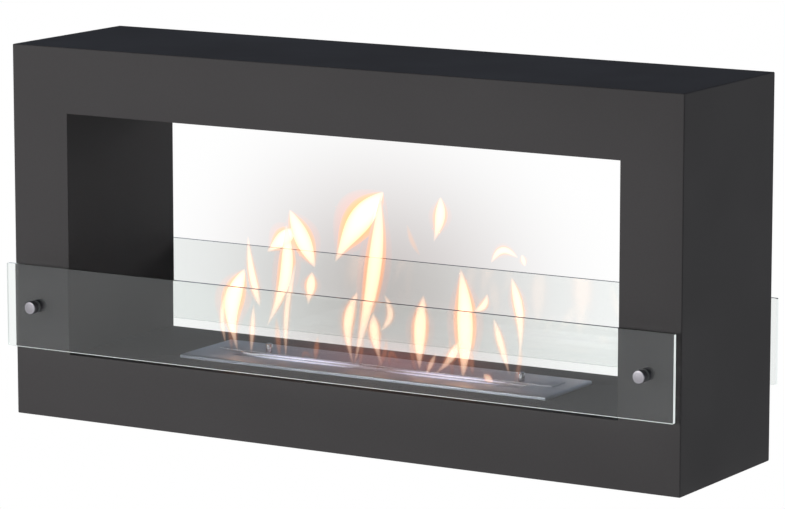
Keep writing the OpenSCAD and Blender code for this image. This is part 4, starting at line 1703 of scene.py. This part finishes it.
@dataclass
class Studio:
    """Plain pale floor and surround, soft lights and the camera."""

    azimuth: float = math.radians(30.99)
    elevation: float = math.radians(9.61)
    target: Triple = (0.0060, 0.0130, 0.2442)
    distance: float = 5.48
    lens: float = 192.6
    floor_reach: float = 40.0
    white: Rgba = (1.0, 1.0, 1.0, 1.0)
    floor_lit: Rgba = (0.27, 0.27, 0.27, 1.0)
    floor_mirrored: Rgba = (0.89, 0.90, 0.91, 1.0)
    sky_lit: Sky = ((0.05, (0.080, 0.082, 0.094, 1.0)), (0.55, (0.014, 0.015, 0.020, 1.0)))
    sky_mirrored: Sky = ((0.10, (0.29, 0.34, 0.43, 1.0)), (0.60, (0.045, 0.050, 0.070, 1.0)))

    def build(self) -> None:
        """Builds the camera, floor, surround and lights."""
        self.camera()
        self.floor()
        self.surround()
        self.lamp("key", (-3.2, -7.2, 1.35), 1.4, 284.0, (1.0, 0.975, 0.965), through=True)
        self.lamp("right_fill", (5.0, 1.2, 1.6), 2.2, 1.5, (0.97, 0.98, 1.0))
        self.lamp("rear_fill", (1.6, 5.0, 1.9), 2.4, 95.0, (1.0, 1.0, 1.0), False)

    def camera(self) -> None:
        """Builds the camera on its line of sight."""
        data = bpy.data.cameras.new("camera")
        data.lens = self.lens
        data.sensor_width = 36.0
        data.clip_end = 200.0
        thing = bpy.data.objects.new("camera", data)
        bpy.context.scene.collection.objects.link(thing)
        flat = math.cos(self.elevation)
        back = Vector((math.sin(self.azimuth) * flat, -math.cos(self.azimuth) * flat,
                       math.sin(self.elevation)))
        thing.location = Vector(self.target) + back * self.distance
        thing.rotation_euler = back.to_track_quat("Z", "Y").to_euler()
        bpy.context.scene.camera = thing

    def paths(self, bench: Bench, lit: object, mirrored: object) -> bpy.types.NodeSocket:
        """A colour that depends on how the light gets to the camera.

        It is plain white where the camera sees it directly or through glass.

        Args:
            bench: The node tree to build in.
            lit: Colour or socket for the light that it gives matt surfaces.
            mirrored: Colour or socket for the light that gloss and glass reflect.

        Returns:
            The colour socket.
        """
        path = bench.add("ShaderNodeLightPath").outputs

        def join(kind: str, first: object, second: object) -> bpy.types.NodeSocket:
            """Joins two sockets or numbers with a Math node."""
            return bench.add("ShaderNodeMath", {0: first, 1: second}, operation=kind).outputs[0]

        matt = join("MINIMUM", path["Diffuse Depth"], 1.0)
        bounced = join("MINIMUM", join("ADD", path["Diffuse Depth"], path["Glossy Depth"]), 1.0)
        through = join("MULTIPLY", path["Is Transmission Ray"], join("SUBTRACT", 1.0, bounced))
        seen = join("MAXIMUM", path["Is Camera Ray"], through)
        return self.mix(bench, seen, self.mix(bench, matt, mirrored, lit), self.white)

    def mix(self, bench: Bench, share: bpy.types.NodeSocket, first: object,
            second: object) -> bpy.types.NodeSocket:
        """Mixes two colours or colour sockets.

        Args:
            bench: The node tree to build in.
            share: How much of the second one there is.
            first: The first one.
            second: The second one.

        Returns:
            The colour socket.
        """
        colour_a, colour_b, mixed = 6, 7, 2    # the Mix node's own places for colours
        inputs = {"Factor": share, colour_a: first, colour_b: second}
        return bench.add("ShaderNodeMix", inputs, data_type="RGBA").outputs[mixed]

    def lay_floor(self, bench: Bench) -> None:
        """Builds the floor's nodes.

        Args:
            bench: The node tree to build in.
        """
        bench.tree.nodes.remove(bench.shader)
        colour = self.paths(bench, self.floor_lit, self.floor_mirrored)
        glow = bench.add("ShaderNodeEmission", {"Color": colour})
        bench.tree.links.new(glow.outputs[0], bench.tree.nodes["Material Output"].inputs["Surface"])

    def floor(self) -> None:
        """Builds the pale floor."""
        shape = Shape()
        bmesh.ops.create_grid(shape.bm, x_segments=1, y_segments=1, size=self.floor_reach)
        thing = shape.mesh("studio_floor", Flat.NONE)
        thing.data.materials.append(material_of("pale_floor", self.lay_floor))

    def surround(self) -> None:
        """Builds the white surround, whose own light is dim and a little blue overhead."""
        world = bpy.data.worlds.new("studio")
        bpy.context.scene.world = world
        world.use_nodes = True
        bench = Bench(world.node_tree)
        direction = bench.add("ShaderNodeTexCoord").outputs["Generated"]
        height = bench.add("ShaderNodeSeparateXYZ", {0: direction}).outputs["Z"]
        ramps = []
        for sky in (self.sky_lit, self.sky_mirrored):
            ramp = bench.add("ShaderNodeValToRGB", {0: height})
            for element, (place, colour) in zip(ramp.color_ramp.elements, sky):
                element.position, element.color = place, colour
            ramps.append(ramp.outputs[0])
        bench.tree.links.new(self.paths(bench, *ramps), bench.tree.nodes["Background"].inputs["Color"])

    def lamp(self, name: str, place: Sequence[float], size: float, power: float, colour: Colour,
             glossy: bool = True, through: bool = False) -> None:
        """Builds a square soft light that looks at the fireplace.

        Args:
            name: Its name.
            place: Its middle.
            size: Its width.
            power: Its power in watts.
            colour: Its colour.
            glossy: Whether reflections show it.
            through: Whether it lights what is behind glass.
        """
        data = bpy.data.lights.new(name, "AREA")
        data.size, data.energy, data.color = size, power, colour
        thing = bpy.data.objects.new(name, data)
        bpy.context.scene.collection.objects.link(thing)
        thing.location = place
        thing.rotation_euler = (Vector(place) - Vector(self.target)).to_track_quat("Z", "Y").to_euler()
        thing.visible_camera = False
        thing.visible_transmission = through
        thing.visible_glossy = glossy


def main() -> None:
    """Builds the fireplace, its fire and the studio."""
    logging.basicConfig(level=logging.INFO, format="%(name)s: %(message)s")
    bpy.context.scene.view_settings.view_transform = "Standard"
    for part in (Casing(), GuardGlass(), Burner(), Shutter(), Fire(), Studio()):
        LOG.info("building %s", type(part).__name__)
        part.build()


if __name__ == "__main__":
    main()
